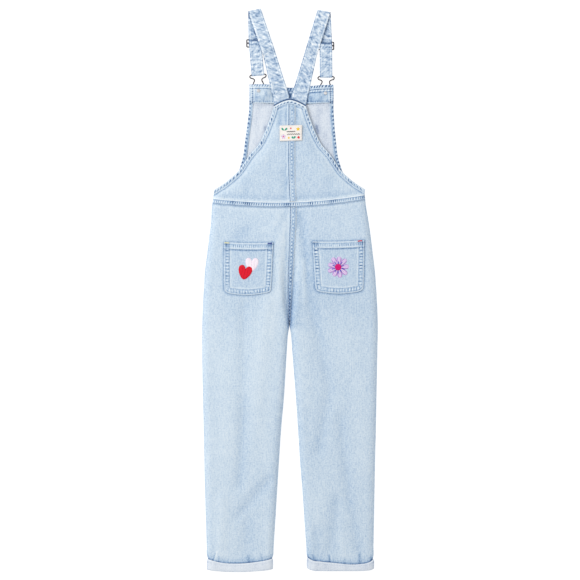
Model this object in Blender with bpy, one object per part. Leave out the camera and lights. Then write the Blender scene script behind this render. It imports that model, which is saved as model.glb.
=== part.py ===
"""A child's denim overalls, laid flat on a surface with the back up.

The tables are in millimetres: +X to the right seen from above, +Y towards the straps,
+Z up from the surface. Left and right are the wearer's, which are also the viewer's here.
The front panels lie on the surface and the back panels arch over them.
"""
import math

import bmesh
import bpy
import numpy as np

MM = 0.001

# Walls and seams
CLOTH = 1.1
HEM_CLOTH = 2.2
SEAM_GAP = 0.3
SEAM_HEIGHT = 3.0
SIDE_REACH = 16.0
FRONT_CURL = 5.0

# Waist seam of the back: a smile curve, y = WAIST_Y + WAIST_TILT x + WAIST_BOW x squared
WAIST_Y = 175.5
WAIST_TILT = 0.0263
WAIST_BOW = 0.000465
WAIST_FADE = 110.0
WAIST_SEAM_WIDTH = 11.5
FRONT_WAIST_Y = 180.0

# Levels of the legs and the side seams
CROTCH_Y = -74.0
SPLIT_START_Y = -20.0
HEM_Y = -576.0
CUFF_LIFT = 2.6
CUFF_LIFT_START_Y = -518.0
CUFF_LIFT_END_Y = -549.0
SIDE_TOP_Y = 206.0
HEM_FOOT_Y = 200.5
SEAM_OPEN_Y = 195.0
SHARED_ROWS_Y = -470.0

# Bands and edges of the back bodice
ARMHOLE_HEM_WIDTH = 9.0
BODICE_REACH = 30.0
ARCH_X = -0.4
ARCH_Y = 392.5
ARCH_DROP = 15.5
ARCH_HALF = 33.2
ARCH_POWER = 2.6
TOP_BAND_DEPTH = 8.5
TOP_BAND_STEP = 3.6
TOP_BAND_CLOTH = 1.6
FELL_WIDTH = 15.0

# Bib
BIB_TOP_Y = 415.0
BIB_TOP_BOW = 0.0008
BIB_TOP_TILT = -0.012
FACING_DEPTH_Y = 383.5
FRONT_HEM_WIDTH = 8.0
FRONT_HEM_CLOTH = 1.2
BUTTON_RISE = 5.4
RISE_FLAT = 17.0
RISE_END = 42.0

# Straps and hardware
STRAP_CLOTH = 1.1
FOLD_RADIUS = 1.6
WIRE_RADIUS = 1.0
BUTTON_RADIUS = 8.5
BUTTON_HEAD = 2.3
SHANK_RADIUS = 3.0
TACK_RADIUS = 3.6
SLIDER_SIZE = (35.0, 17.0)
SLIDER_BAR = 2.2
SLIDER_PLATE = 1.6
SLIDER_BRIDGE_Z = 3.4

# Body and legs. Columns: level y, left side x, right side x, height of the back
BODY = [
    (208.0, -155.2, 152.5, 8.6),
    (190.0, -157.5, 154.0, 8.8),
    (172.0, -160.0, 156.0, 9.2),
    (139.0, -162.0, 161.5, 11.0),
    (107.0, -166.0, 166.0, 12.6),
    (74.0, -170.0, 170.0, 13.2),
    (41.0, -174.3, 174.0, 13.4),
    (8.0, -176.4, 176.6, 13.4),
    (-25.0, -178.4, 178.6, 13.4),
    (-76.0, -180.2, 180.3, 13.2),
    (-123.0, -180.3, 179.4, 13.0),
    (-221.0, -178.6, 177.5, 13.0),
    (-287.0, -177.0, 176.2, 12.9),
    (-353.0, -175.8, 174.6, 12.8),
    (-418.0, -174.3, 173.4, 12.8),
    (-484.0, -172.2, 172.2, 12.6),
    (-528.0, -170.8, 171.4, 12.2),
    (-545.0, -170.2, 171.2, 11.8),
    (-552.0, -167.8, 169.8, 11.6),
    (-557.0, -167.8, 169.8, 11.6),
    (-580.0, -167.8, 169.8, 11.6),
]

# Inseams. Columns: level y, left leg x, right leg x
INSEAM = [
    (-74.0, -1.25, -0.85),
    (-90.0, -4.0, 1.9),
    (-123.0, -6.4, 4.4),
    (-221.0, -12.4, 12.2),
    (-287.0, -18.3, 16.6),
    (-353.0, -22.6, 20.8),
    (-418.0, -26.7, 26.0),
    (-484.0, -30.8, 30.4),
    (-528.0, -33.6, 33.6),
    (-545.0, -34.8, 34.8),
    (-552.0, -37.5, 37.1),
    (-557.0, -37.5, 37.1),
    (-580.0, -37.5, 37.1),
]

# Centre back seam. Columns: level y, x, depth of its trough, flat half width, reach of its slopes
CENTRE = [
    (400.0, 3.9, 0.0, 8.4, 30.0),
    (208.0, 4.6, 0.0, 8.4, 30.0),
    (172.0, 6.6, 0.6, 8.4, 30.0),
    (139.0, 6.0, 1.4, 8.4, 27.0),
    (74.0, 3.0, 2.6, 7.8, 21.0),
    (41.0, 1.5, 4.2, 7.2, 16.0),
    (8.0, 0.0, 6.2, 6.4, 13.0),
    (-25.0, -0.6, 7.8, 4.8, 12.0),
    (-50.0, -0.9, 9.0, 2.6, 12.0),
    (-74.0, -1.05, 9.9, 0.0, 14.0),
    (-100.0, -1.05, 9.9, 0.0, 15.0),
]

# Back armhole edge. Columns: level y, half width from the middle of the back
ARMHOLE = [
    (206.0, 154.6),
    (214.0, 141.5),
    (221.0, 131.5),
    (229.0, 121.6),
    (245.4, 104.6),
    (261.0, 94.2),
    (277.8, 83.0),
    (296.6, 66.4),
    (321.9, 53.0),
    (346.5, 43.2),
    (365.0, 36.6),
    (376.0, 33.6),
]

# Height of the back bodice. Columns: level y, height in the middle, height of the armhole edge
BODICE = [
    (172.0, 9.2, 5.7),
    (208.0, 8.6, 5.7),
    (250.0, 9.2, 5.7),
    (300.0, 8.8, 5.8),
    (340.0, 8.2, 6.2),
    (362.0, 8.0, 7.2),
    (400.0, 8.0, 7.4),
]

# Front edge of the bib and of the front armhole. Columns: level y, left x, right x
BIB_EDGE = [
    (206.0, -154.6, 152.0),
    (214.0, -136.0, 136.0),
    (229.0, -117.0, 117.5),
    (241.0, -107.0, 109.0),
    (256.0, -101.5, 103.5),
    (270.6, -97.4, 99.2),
    (303.4, -92.7, 94.8),
    (336.0, -88.3, 91.6),
    (369.0, -84.2, 89.6),
    (414.0, -83.0, 89.2),
    (424.0, -82.8, 89.0),
]

# Largest folds of the back. Columns: start x, y, end x, y, half width, height (a trough is below 0)
FOLDS = [
    (-10.0, 128.0, -26.0, 20.0, 6.0, 0.7),
    (-47.0, -30.0, -60.0, -150.0, 13.0, 0.9),
    (-60.0, -150.0, -76.0, -330.0, 13.0, 0.7),
    (-94.0, -30.0, -97.0, -230.0, 10.0, -1.1),
    (-97.0, -250.0, -104.0, -400.0, 10.0, -1.3),
    (-48.0, -394.0, -106.0, -468.0, 11.0, -1.3),
    (-139.0, -430.0, -141.0, -520.0, 10.0, 0.8),
    (-90.0, -470.0, -90.0, -530.0, 13.0, -1.0),
    (28.0, 140.0, 34.0, 20.0, 6.0, -1.0),
    (40.0, -30.0, 58.0, -100.0, 10.0, -1.3),
    (58.0, -100.0, 80.0, -200.0, 11.0, -1.3),
    (80.0, -200.0, 60.0, -330.0, 11.0, -1.2),
    (104.0, -260.0, 120.0, -430.0, 10.0, -1.1),
    (100.0, -430.0, 84.0, -530.0, 11.0, -1.0),
    (124.0, -486.0, 140.0, -530.0, 9.0, -0.9),
]

# Back pockets. Columns: side, level y of a row, left x, right x, from the top hem to the foot
POCKETS = {
    "left": [(98.4, 97.4, -135.1, -34.2), (84.0, 83.0, -135.1, -34.4), (40.0, 40.0, -135.3, -36.2),
             (3.9, 0.0, -135.1, -38.3), (-11.9, -10.0, -119.0, -52.0)],
    "right": [(99.8, 102.3, 45.5, 152.5), (86.0, 88.4, 46.2, 152.6), (40.0, 42.0, 49.2, 151.8),
              (3.1, 5.7, 51.7, 150.9), (-8.0, -7.6, 66.0, 134.0)],
}
POCKET_CLEAR = 10.0
POCKET_HEM = 13.5
POCKET_HEM_EXTRA = 0.8

# Straps. Columns: left edge x, y, right edge x, y, at the fold, the slider, the hook and under the back
STRAPS = {
    "left": {
        "fold": (-86.0, 573.0, -60.2, 578.2),
        "slider": (-84.8, 512.0, -59.6, 512.6),
        "hook": (-78.6, 436.4, -53.0, 438.6),
        "middle": (-54.4, 479.5, -29.2, 486.0),
        "arch": (-33.6, 387.5, -2.9, 398.9),
        "end": (-29.5, 366.0, -2.2, 376.0),
    },
    "right": {
        "fold": (56.6, 576.0, 82.8, 570.4),
        "slider": (60.8, 508.0, 86.2, 508.0),
        "hook": (61.4, 434.0, 86.8, 434.0),
        "middle": (28.9, 483.0, 54.6, 479.5),
        "arch": (4.0, 396.1, 34.6, 387.5),
        "end": (1.6, 374.0, 29.5, 366.0),
    },
}
SLIDER_CENTRE = {"left": (-72.4, 506.6), "right": (73.4, 501.4)}
BUTTON_CENTRE = {"left": (-64.8, 408.6), "right": (72.6, 403.6)}
RISE_CENTRE = {"left": (-68.0, 412.0), "right": (76.0, 408.0)}

# One side of a hook's wire, from its bar down to the button. Columns: x from the hook's middle,
# y from the strap's end, height of the wire's middle
HOOK_WIRE = [
    (11.2, 2.6, 2.7),
    (13.6, 2.4, 2.7),
    (15.4, 0.9, 2.7),
    (15.6, -1.4, 2.8),
    (14.0, -3.6, 2.9),
    (10.6, -4.9, 3.1),
    (8.0, -6.8, 3.3),
    (7.5, -9.4, 3.5),
    (8.6, -12.4, 3.7),
    (10.2, -16.0, 3.9),
    (9.8, -20.6, 3.9),
    (7.0, -25.0, 3.9),
]

COLOURS = {
    "denim": (196, 213, 230),
    "wrong side": (222, 228, 238),
    "seam": (170, 192, 217),
    "strap": (185, 203, 221),
    "steel": (88, 88, 96),
    "tack": (214, 210, 208),
    "label": (248, 240, 232),
}

SIDE_SIGN = {"left": -1.0, "right": 1.0}


def linear(channel):
    """One sRGB channel of 0 to 255 as a linear value."""
    value = channel / 255.0
    return value / 12.92 if value <= 0.04045 else ((value + 0.055) / 1.055) ** 2.4


def material(name, colour, roughness=0.85, metallic=0.0):
    """A Principled material in one colour."""
    result = bpy.data.materials.new(name)
    result.use_nodes = True
    shader = result.node_tree.nodes["Principled BSDF"]
    shader.inputs["Base Color"].default_value = (*[linear(c) for c in COLOURS[colour]], 1.0)
    shader.inputs["Roughness"].default_value = roughness
    shader.inputs["Metallic"].default_value = metallic
    return result


def smooth(value):
    """A soft step from 0 to 1."""
    value = np.clip(value, 0.0, 1.0)
    return value * value * (3.0 - 2.0 * value)


def along(rows, column, y):
    """A column of a table at the level y, through a smooth curve."""
    ordered = sorted(rows)
    levels = np.array([row[0] for row in ordered])
    values = np.array([row[column] for row in ordered])
    slopes = np.gradient(values, levels)
    y = np.clip(np.asarray(y, float), levels[0], levels[-1])
    index = np.clip(np.searchsorted(levels, y) - 1, 0, len(levels) - 2)
    span = levels[index + 1] - levels[index]
    t = (y - levels[index]) / span
    start = (1 + 2 * t) * (1 - t) ** 2 * values[index]
    end = t * t * (3 - 2 * t) * values[index + 1]
    leave = t * (1 - t) ** 2 * span * slopes[index]
    arrive = t * t * (t - 1) * span * slopes[index + 1]
    return start + end + leave + arrive


def side_x(y, side):
    """The side seam's x at a level."""
    return along(BODY, 1 if side < 0 else 2, y)


def inner_x(y, side):
    """The x of the centre seam above the crotch, and of the inseam below it."""
    seam = along(CENTRE, 1, y) + side * SEAM_GAP / 2
    inseam = along(INSEAM, 1 if side < 0 else 2, y)
    return np.where(np.asarray(y) > CROTCH_Y, seam, inseam)


def arm_x(y, side):
    """The back armhole edge's x at a level."""
    return side * along(ARMHOLE, 1, y)


def waist_y(x):
    """The level of the back's waist seam."""
    return WAIST_Y + WAIST_TILT * x + WAIST_BOW * x * x


def front_waist_y(x):
    """The level of the front's waist seam."""
    return FRONT_WAIST_Y + 0.0 * x


def lift(y):
    """How far the cuff under it raises the front panel."""
    return CUFF_LIFT * smooth((CUFF_LIFT_START_Y - y) / (CUFF_LIFT_START_Y - CUFF_LIFT_END_Y))


def split(y):
    """0 where the two halves are one body, 1 where they are legs."""
    return smooth((SPLIT_START_Y - y) / (SPLIT_START_Y - CROTCH_Y))


def quarter(distance, reach):
    """The rise of a rounded edge, from 0 at the edge to 1 at its reach."""
    return np.sqrt(np.clip(1.0 - (1.0 - np.clip(distance / reach, 0.0, 1.0)) ** 2, 0.0, 1.0))


def wave(distance, reach):
    """The rise of a soft slope, from 0 at its foot to 1 at its reach."""
    return 0.5 - 0.5 * np.cos(math.pi * np.clip(distance / reach, 0.0, 1.0))


def seam_height(y):
    """The height of the side seams."""
    return SEAM_HEIGHT + 0.8 * lift(y)


def segment_distance(x, y, x0, y0, x1, y1):
    """The distance of points from a segment."""
    dx, dy = x1 - x0, y1 - y0
    t = np.clip(((x - x0) * dx + (y - y0) * dy) / (dx * dx + dy * dy), 0.0, 1.0)
    return np.hypot(x - x0 - t * dx, y - y0 - t * dy)


def folds(x, y):
    """The height that the largest folds add to the back, none of it under the pockets."""
    ridge = np.zeros(np.broadcast(x, y).shape)
    trough = np.zeros(np.broadcast(x, y).shape)
    for x0, y0, x1, y1, half_width, amount in FOLDS:
        form = amount * np.exp(-(segment_distance(x, y, x0, y0, x1, y1) / half_width) ** 2)
        ridge = np.maximum(ridge, form)
        trough = np.minimum(trough, form)
    height = ridge + trough
    for rows in POCKETS.values():
        left = min(row[2] for row in rows)
        right = max(row[3] for row in rows)
        top = max(row[1] for row in rows)
        foot = min(row[0] for row in rows)
        away = np.maximum(np.maximum(left - x, x - right), np.maximum(foot - y, y - top))
        height = height * smooth(away / POCKET_CLEAR - 0.2)
    return height


def leg_top(x, y, side):
    """The outer surface of the back from the waist to the hem."""
    height = along(BODY, 3, y)
    opened = smooth((np.asarray(y) - SEAM_OPEN_Y) / (HEM_FOOT_Y - SEAM_OPEN_Y))
    edge = seam_height(y) + SEAM_GAP + opened * (along(BODICE, 2, y) - SEAM_HEIGHT - SEAM_GAP)
    outer = np.abs(side_x(y, side) - x)
    inner = np.abs(inner_x(y, side) - x)
    trough = np.where(np.asarray(y) > CROTCH_Y, height - along(CENTRE, 2, y), seam_height(y) + SEAM_GAP)
    inner = np.maximum(inner - along(CENTRE, 3, y), 0.0)
    reach = along(CENTRE, 4, y)
    share = split(y)
    rise = (1 - share) * wave(inner, reach) + share * quarter(inner, reach)
    drop = (height - edge) * (1 - quarter(outer, SIDE_REACH)) + (height - trough) * (1 - rise)
    inside = smooth(outer / 24.0) * smooth(inner / 14.0) * smooth((waist_y(x) - y) / 22.0)
    return height - drop + folds(x, y) * inside * (1 - smooth((-y - 530.0) / 18.0))


def bodice_outline(side):
    """Points of the side seam's top and of the armhole edge, as x and y rows."""
    levels = np.concatenate([np.linspace(165.0, SIDE_TOP_Y - 1, 9), np.linspace(SIDE_TOP_Y, 376.0, 40)])
    edge = np.where(levels < SIDE_TOP_Y, side_x(levels, side), arm_x(levels, side))
    return edge, levels


def bodice_top(x, y, side):
    """The outer surface of the back bodice."""
    edge_x, edge_y = bodice_outline(side)
    distance = np.full(np.broadcast(x, y).shape, 1e9)
    for i in range(len(edge_x) - 1):
        near = segment_distance(x, y, edge_x[i], edge_y[i], edge_x[i + 1], edge_y[i + 1])
        distance = np.minimum(distance, near)
    opened = smooth((y - SEAM_OPEN_Y) / (HEM_FOOT_Y - SEAM_OPEN_Y))
    height = along(BODICE, 1, y)
    edge = (1 - opened) * (SEAM_HEIGHT + SEAM_GAP) + opened * along(BODICE, 2, y)
    reach = SIDE_REACH + opened * (BODICE_REACH - SIDE_REACH)
    rise = (1 - opened) * quarter(distance, reach) + opened * smooth(distance / reach)
    return edge + (height - edge) * rise


def back_top(x, y):
    """The outer surface of the whole back, for what lies on it."""
    side = np.where(np.asarray(x) < along(CENTRE, 1, y), -1.0, 1.0)
    leg = np.where(side < 0, leg_top(x, y, -1.0), leg_top(x, y, 1.0))
    bodice = np.where(side < 0, bodice_top(x, y, -1.0), bodice_top(x, y, 1.0))
    return np.where(np.asarray(y) < waist_y(np.asarray(x)), leg, bodice)


def front_rise(x, y):
    """How far the buttons and hooks raise the bib."""
    rise = 0.0
    for centre_x, centre_y in RISE_CENTRE.values():
        radius = np.hypot(x - centre_x, y - centre_y)
        rise = rise + BUTTON_RISE * (1 - smooth((radius - RISE_FLAT) / (RISE_END - RISE_FLAT)))
    return rise


def surface_normals(points):
    """The unit normals of a grid of points, up where the grid runs in +X then +Y."""
    across = np.gradient(points, axis=1)
    down = np.gradient(points, axis=0)
    normal = np.cross(across, down)
    return normal / np.linalg.norm(normal, axis=2, keepdims=True)


def upward(normal):
    """The same normals, all turned so that their sum points up."""
    return normal if normal[:, :, 2].sum() > 0 else -normal


def new_object(name, vertices, faces, colour, roughness=0.85, metallic=0.0):
    """One mesh object in metres, with its faces turned outwards."""
    mesh = bpy.data.meshes.new(name)
    mesh.from_pydata([tuple(c * MM for c in v) for v in vertices], [], faces)
    work = bmesh.new()
    work.from_mesh(mesh)
    bmesh.ops.recalc_face_normals(work, faces=work.faces)
    work.to_mesh(mesh)
    work.free()
    mesh.materials.append(material(name, colour, roughness, metallic))
    result = bpy.data.objects.new(name, mesh)
    bpy.context.collection.objects.link(result)
    return result


def wall(name, outer, inner, colour):
    """The closed solid between two grids of points of one size."""
    rows, columns = outer.shape[:2]
    vertices = np.concatenate([outer.reshape(-1, 3), inner.reshape(-1, 3)])
    size = rows * columns
    faces = []
    for i in range(rows - 1):
        for j in range(columns - 1):
            a, b = i * columns + j, i * columns + j + 1
            c, d = b + columns, a + columns
            faces.append((a, b, c, d))
            faces.append((size + a, size + d, size + c, size + b))
    rim = [j for j in range(columns)]
    rim += [i * columns + columns - 1 for i in range(1, rows)]
    rim += [(rows - 1) * columns + j for j in range(columns - 2, -1, -1)]
    rim += [i * columns for i in range(rows - 2, 0, -1)]
    for a, b in zip(rim, rim[1:] + rim[:1]):
        faces.append((a, size + a, size + b, b))
    return new_object(name, vertices, faces, colour)


def patch(name, x, y, base, thickness, colour, gap=SEAM_GAP):
    """A piece that lies on a surface of the heights base, over the grid x, y."""
    lower = np.stack([x, y, base + gap], axis=2)
    upper = np.stack([x, y, base + gap + thickness], axis=2)
    return wall(name, upper, lower, colour)


def on_normals(name, points, thickness, colour, gap=SEAM_GAP):
    """A piece that lies on a curved surface, moved out along the surface's normals."""
    normal = upward(surface_normals(points))
    return wall(name, points + normal * (gap + thickness), points + normal * gap, colour)


def edge_columns(total_outer, reach_outer, reach_inner, middle):
    """Distances from the outer edge across a panel, closer together at its rounded edges."""
    close = [0.0, 0.06, 0.234, 0.5]
    outer = [reach_outer * share for share in close]
    inner = [total_outer - reach_inner * share for share in reversed(close)]
    first, last = reach_outer, total_outer - reach_inner
    between = [first + (last - first) * i / middle for i in range(middle + 1)]
    return np.array(outer + between + inner)


def leg_levels():
    """Levels of a leg panel's rows below the waist, closer together at the crotch and the hem."""
    spans = [(168.0, -20.0, 10), (-20.0, -92.0, 8), (-92.0, -520.0, 11), (-520.0, HEM_Y, 5)]
    levels = []
    for start, end, count in spans:
        levels += [start + (end - start) * i / count for i in range(count)]
    return levels + [HEM_Y]


def leg_grid(side, waist, reach_outer, middle, inner_reach, keep=1):
    """The x and y of a leg panel's points, a row for each level from its waist line to the hem."""
    levels = [WAIST_Y] + [y for i, y in enumerate(leg_levels()) if i % keep == 0 or y < SHARED_ROWS_Y]
    grid_x, grid_y = [], []
    for row, level in enumerate(levels):
        outer, inner = float(side_x(level, side)), float(inner_x(level, side))
        columns = edge_columns(abs(outer - inner), reach_outer, inner_reach(level), middle)
        x = outer - side * columns
        fade = 1.0 - smooth((WAIST_Y - level) / WAIST_FADE)
        y = level + (waist(x) - WAIST_Y) * fade
        if row == 0:
            y = y - SEAM_GAP
        move = side_x(y, side) - outer
        share = 1.0 - smooth(columns / (reach_outer * 3))
        grid_x.append(x + move * share)
        grid_y.append(y)
    return np.array(grid_x), np.array(grid_y)


def back_leg(name, side):
    """The back panel of one leg, from the waist over the seat to the hem."""
    def inner_reach(y):
        return float(along(CENTRE, 3, y) + along(CENTRE, 4, y))

    x, y = leg_grid(side, waist_y, SIDE_REACH, 7, inner_reach)
    points = np.stack([x, y, leg_top(x, y, side)], axis=2)
    normal = upward(surface_normals(points))
    opened = smooth((y[:, 0] - SEAM_OPEN_Y) / (HEM_FOOT_Y - SEAM_OPEN_Y)) * math.pi / 2
    normal[:, 0] = np.stack([side * np.cos(opened), 0 * opened, np.sin(opened)], axis=1)
    turn = split(y[:, -1]) * math.pi / 2
    normal[:, -1] = np.stack([-side * np.sin(turn), 0 * turn, np.cos(turn)], axis=1)
    return wall(name, points, points - normal * CLOTH, "denim")


def front_under(x, y, side):
    """The underside of the front panels below the waist."""
    base = lift(y)
    outer = np.abs(side_x(y, side) - x)
    inner = np.abs(inner_x(y, side) - x)
    curl = (seam_height(y) - base) * (1 - quarter(outer, FRONT_CURL))
    fold = (seam_height(y) - base) * split(y) * (1 - quarter(inner, FRONT_CURL))
    return base + curl + fold


def front_leg(name, side):
    """The front panel of one leg, flat on the surface."""
    x, y = leg_grid(side, front_waist_y, FRONT_CURL, 4, lambda level: FRONT_CURL, keep=2)
    points = np.stack([x, y, front_under(x, y, side)], axis=2)
    normal = -upward(surface_normals(points))
    normal[:, 0] = (side, 0.0, 0.0)
    turn = split(y[:, -1]) * math.pi / 2
    normal[:, -1] = np.stack([-side * np.sin(turn), 0 * turn, -np.cos(turn)], axis=1)
    return wall(name, points, points - normal * CLOTH, "denim")


def cuff(name, side):
    """A turned-up cuff: a flattened ring round the end of a leg, wrong side out."""
    levels = {"top": -556.5, "foot": HEM_Y - 1.6}
    level = -565.0
    outer_edge, inner_edge = float(side_x(level, side)), float(inner_x(level, side))
    width = abs(outer_edge - inner_edge)
    reach = float(along(CENTRE, 3, level) + along(CENTRE, 4, level))
    x_back = outer_edge - side * edge_columns(width, SIDE_REACH, reach, 7)
    back = leg_top(x_back, np.full_like(x_back, level), side)
    x_front = (outer_edge - side * edge_columns(width, FRONT_CURL, FRONT_CURL, 4))[::-1][1:-1]
    front = front_under(x_front, np.full_like(x_front, level), side)
    loop = np.stack([np.concatenate([x_back, x_front]), np.concatenate([back, front])], axis=1)
    tangent = np.roll(loop, -1, axis=0) - np.roll(loop, 1, axis=0)
    normal = np.stack([tangent[:, 1], -tangent[:, 0]], axis=1)
    normal /= np.linalg.norm(normal, axis=1, keepdims=True)
    if (normal[0, 0] * side) < 0:
        normal = -normal
    middle = (outer_edge + inner_edge) / 2
    across = (loop[:, 0] - middle) / (width / 2)
    bow = 3.6 * (across ** 2)
    upper_edge = levels["top"] - 7.0 + bow * 2.0
    lower_edge = levels["foot"] + bow * 0.9
    steps = [0.0, 0.3, 0.7, 1.0]
    swell = [0.0, 0.35, 0.35, 0.0]
    grid_out, grid_in = [], []
    for step, extra in zip(steps, swell):
        y = upper_edge * (1 - step) + lower_edge * step
        out = loop + normal * (SEAM_GAP + HEM_CLOTH + extra)
        inside = loop + normal * SEAM_GAP
        grid_out.append(np.stack([out[:, 0], y, np.maximum(out[:, 1], 0.0)], axis=1))
        grid_in.append(np.stack([inside[:, 0], y, inside[:, 1]], axis=1))
    return ring(name, np.array(grid_out), np.array(grid_in), "wrong side")


def ring(name, outer, inner, colour):
    """The closed solid between two grids whose rows close on themselves."""
    rows, columns = outer.shape[:2]
    size = rows * columns
    vertices = np.concatenate([outer.reshape(-1, 3), inner.reshape(-1, 3)])
    faces = []
    for i in range(rows - 1):
        for j in range(columns):
            a, b = i * columns + j, i * columns + (j + 1) % columns
            faces.append((a, b, b + columns, a + columns))
            faces.append((size + a, size + a + columns, size + b + columns, size + b))
    for i in (0, rows - 1):
        for j in range(columns):
            a, b = i * columns + j, i * columns + (j + 1) % columns
            faces.append((a, size + a, size + b, b))
    return new_object(name, vertices, faces, colour)


def armhole_lines(side):
    """The outer and inner edges of the back armhole hem, as two rows of x, y points."""
    levels = np.concatenate([np.linspace(SIDE_TOP_Y, 245.0, 14), np.linspace(250.0, 376.0, 40)])
    outer = np.stack([arm_x(levels, side), levels], axis=1)
    tangent = np.gradient(outer, axis=0)
    tangent /= np.linalg.norm(tangent, axis=1, keepdims=True)
    inward = np.stack([-side * tangent[:, 1], side * tangent[:, 0]], axis=1)
    inner = outer + inward * ARMHOLE_HEM_WIDTH
    outer[0, 0] = side_x(SIDE_TOP_Y - 1.0, side)
    inner[0] = (side_x(HEM_FOOT_Y, side), HEM_FOOT_Y)
    keep = inner[:, 1] >= HEM_FOOT_Y
    return outer[keep], inner[keep]


def armhole_hem(name, side):
    """The turned hem along a back armhole, with a station at each row of the bodice's edge."""
    x_edge, y_edge = [grid[:, -1] for grid in bodice_grid(side)]
    outer, inner = armhole_lines(side)
    levels = np.concatenate([[HEM_FOOT_Y], y_edge[y_edge > HEM_FOOT_Y + 1.0]])
    along_inner = inner[:, 1]
    stations_in = np.stack([np.interp(levels, along_inner, inner[:, 0]), levels], axis=1)
    stations_out = np.stack([np.interp(levels, along_inner, outer[:, c]) for c in (0, 1)], axis=1)
    top = levels[-1] - SEAM_GAP
    stations_in[-1, 1] = top
    stations_out[-1] = (float(arm_x(top, side)), top)
    shares = np.linspace(0.0, 1.0, 4)
    grid = np.array([[o * (1 - s) + i * s for s in shares] for o, i in zip(stations_out, stations_in)])
    x, y = grid[:, :, 0], grid[:, :, 1]
    height = bodice_top(x, y, side) + 0.15
    upper = np.stack([x, y, height], axis=2)
    lower = np.stack([x, y, height - HEM_CLOTH], axis=2)
    return wall(name, upper, lower, "seam")


def arch_y(x):
    """The top edge of the back between the straps."""
    return ARCH_Y - ARCH_DROP * np.abs((x - ARCH_X) / ARCH_HALF) ** ARCH_POWER


def bodice_edge_x(y, side):
    """The outer edge of the bodice panel: the side seam, then the inner line of the armhole hem."""
    inner = armhole_lines(side)[1]
    away = np.interp(y, inner[:, 1], inner[:, 0]) - side * SEAM_GAP
    return np.where(y <= HEM_FOOT_Y, side_x(y, side), away)


def bodice_grid(side):
    """The x and y of a bodice half's points, a row for each level from the waist seam to the top band."""
    shares = np.array([0.0, 0.14, 0.34, 0.54, 0.72, 0.86, 0.94, 0.98, 1.0])
    spans = np.array([0.0, 0.03, 0.06, 0.095, 0.13, 0.17, 0.22, 0.29, 0.37, 0.46, 0.56, 0.67, 0.78, 0.89, 1.0])
    rows_x, rows_y = [], []
    band = TOP_BAND_STEP + TOP_BAND_DEPTH + SEAM_GAP
    top_x = float(along(CENTRE, 1, ARCH_Y)) * (1 - shares) + (ARCH_X + side * ARCH_HALF) * shares
    top = arch_y(top_x) - band
    for span in spans:
        y = WAIST_Y + span * (top - WAIST_Y)
        for _ in range(12):
            edge = bodice_edge_x(y[-1:], side)[0]
            centre = along(CENTRE, 1, y) + side * SEAM_GAP / 2
            x = centre + (edge - centre) * shares
            foot = waist_y(x) + SEAM_GAP
            y = foot + span * (top - foot)
        rows_x.append(x)
        rows_y.append(y)
    return np.array(rows_x), np.array(rows_y)


def bodice(name, side):
    """One half of the back bodice."""
    x, y = bodice_grid(side)
    points = np.stack([x, y, bodice_top(x, y, side)], axis=2)
    normal = upward(surface_normals(points))
    opened = smooth((y[:, -1] - SEAM_OPEN_Y) / (HEM_FOOT_Y - SEAM_OPEN_Y)) * math.pi / 2
    normal[:, -1] = np.stack([side * np.cos(opened), 0 * opened, np.sin(opened)], axis=1)
    normal[:, 0] = (0.0, 0.0, 1.0)
    return wall(name, points, points - normal * CLOTH, "denim")


def top_band(name, step, depth, thickness, sink, colour):
    """A band that follows the arch at the top of the back."""
    shares = np.linspace(-1.0, 1.0, 19)
    rows = np.linspace(0.0, 1.0, 4)
    x = np.array([ARCH_X + ARCH_HALF * shares for _ in rows])
    y = arch_y(x) - step - depth * rows[:, None]
    side = np.where(x < 0, -1.0, 1.0)
    top = np.where(side < 0, bodice_top(x, y, -1.0), bodice_top(x, y, 1.0)) + 0.15 - sink
    upper = np.stack([x, y, top], axis=2)
    lower = np.stack([x, y, top - thickness], axis=2)
    return wall(name, upper, lower, colour)


def fell(name, start_y, end_y, half_width, levels, colour):
    """A flat-felled seam lying over the centre back between two levels."""
    y = np.array([level for level in levels if end_y < level < start_y])
    y = np.concatenate([[start_y], y, [end_y]])
    shares = np.array([-1.0, -0.5, 0.0, 0.5, 1.0])
    x = along(CENTRE, 1, y)[:, None] + half_width(y)[:, None] * shares[None, :]
    y = np.repeat(y[:, None], len(shares), axis=1)
    base = back_top(along(CENTRE, 1, y) + 0 * x, y)
    return patch(name, x, y, base, CLOTH, colour, gap=SEAM_GAP + 0.06)


def waist_seam(name):
    """The waist seam of the back, lying over the bodice and both leg panels."""
    rows = np.linspace(1.0, -1.0, 4) * WAIST_SEAM_WIDTH / 2
    lines = []
    for row in rows:
        halves = []
        for side in (-1.0, 1.0):
            edge = float(side_x(WAIST_Y, side))
            reach = float(along(CENTRE, 3, WAIST_Y) + along(CENTRE, 4, WAIST_Y))
            columns = edge_columns(abs(edge - float(inner_x(WAIST_Y, side))), SIDE_REACH, reach, 7)[1:]
            x = edge - side * columns
            share = 1.0 - smooth(columns / (SIDE_REACH * 3))
            x = x + (side_x(waist_y(x) + row, side) - edge) * share
            halves.append(x if side < 0 else x[::-1])
        lines.append(np.concatenate([halves[0][:-1], [along(CENTRE, 1, WAIST_Y)], halves[1][1:]]))
    x = np.array(lines)
    y = waist_y(x) + rows[:, None]
    points = np.stack([x, y, back_top(x, y)], axis=2)
    return on_normals(name, points, CLOTH, "seam", gap=SEAM_GAP + 0.1)


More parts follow.
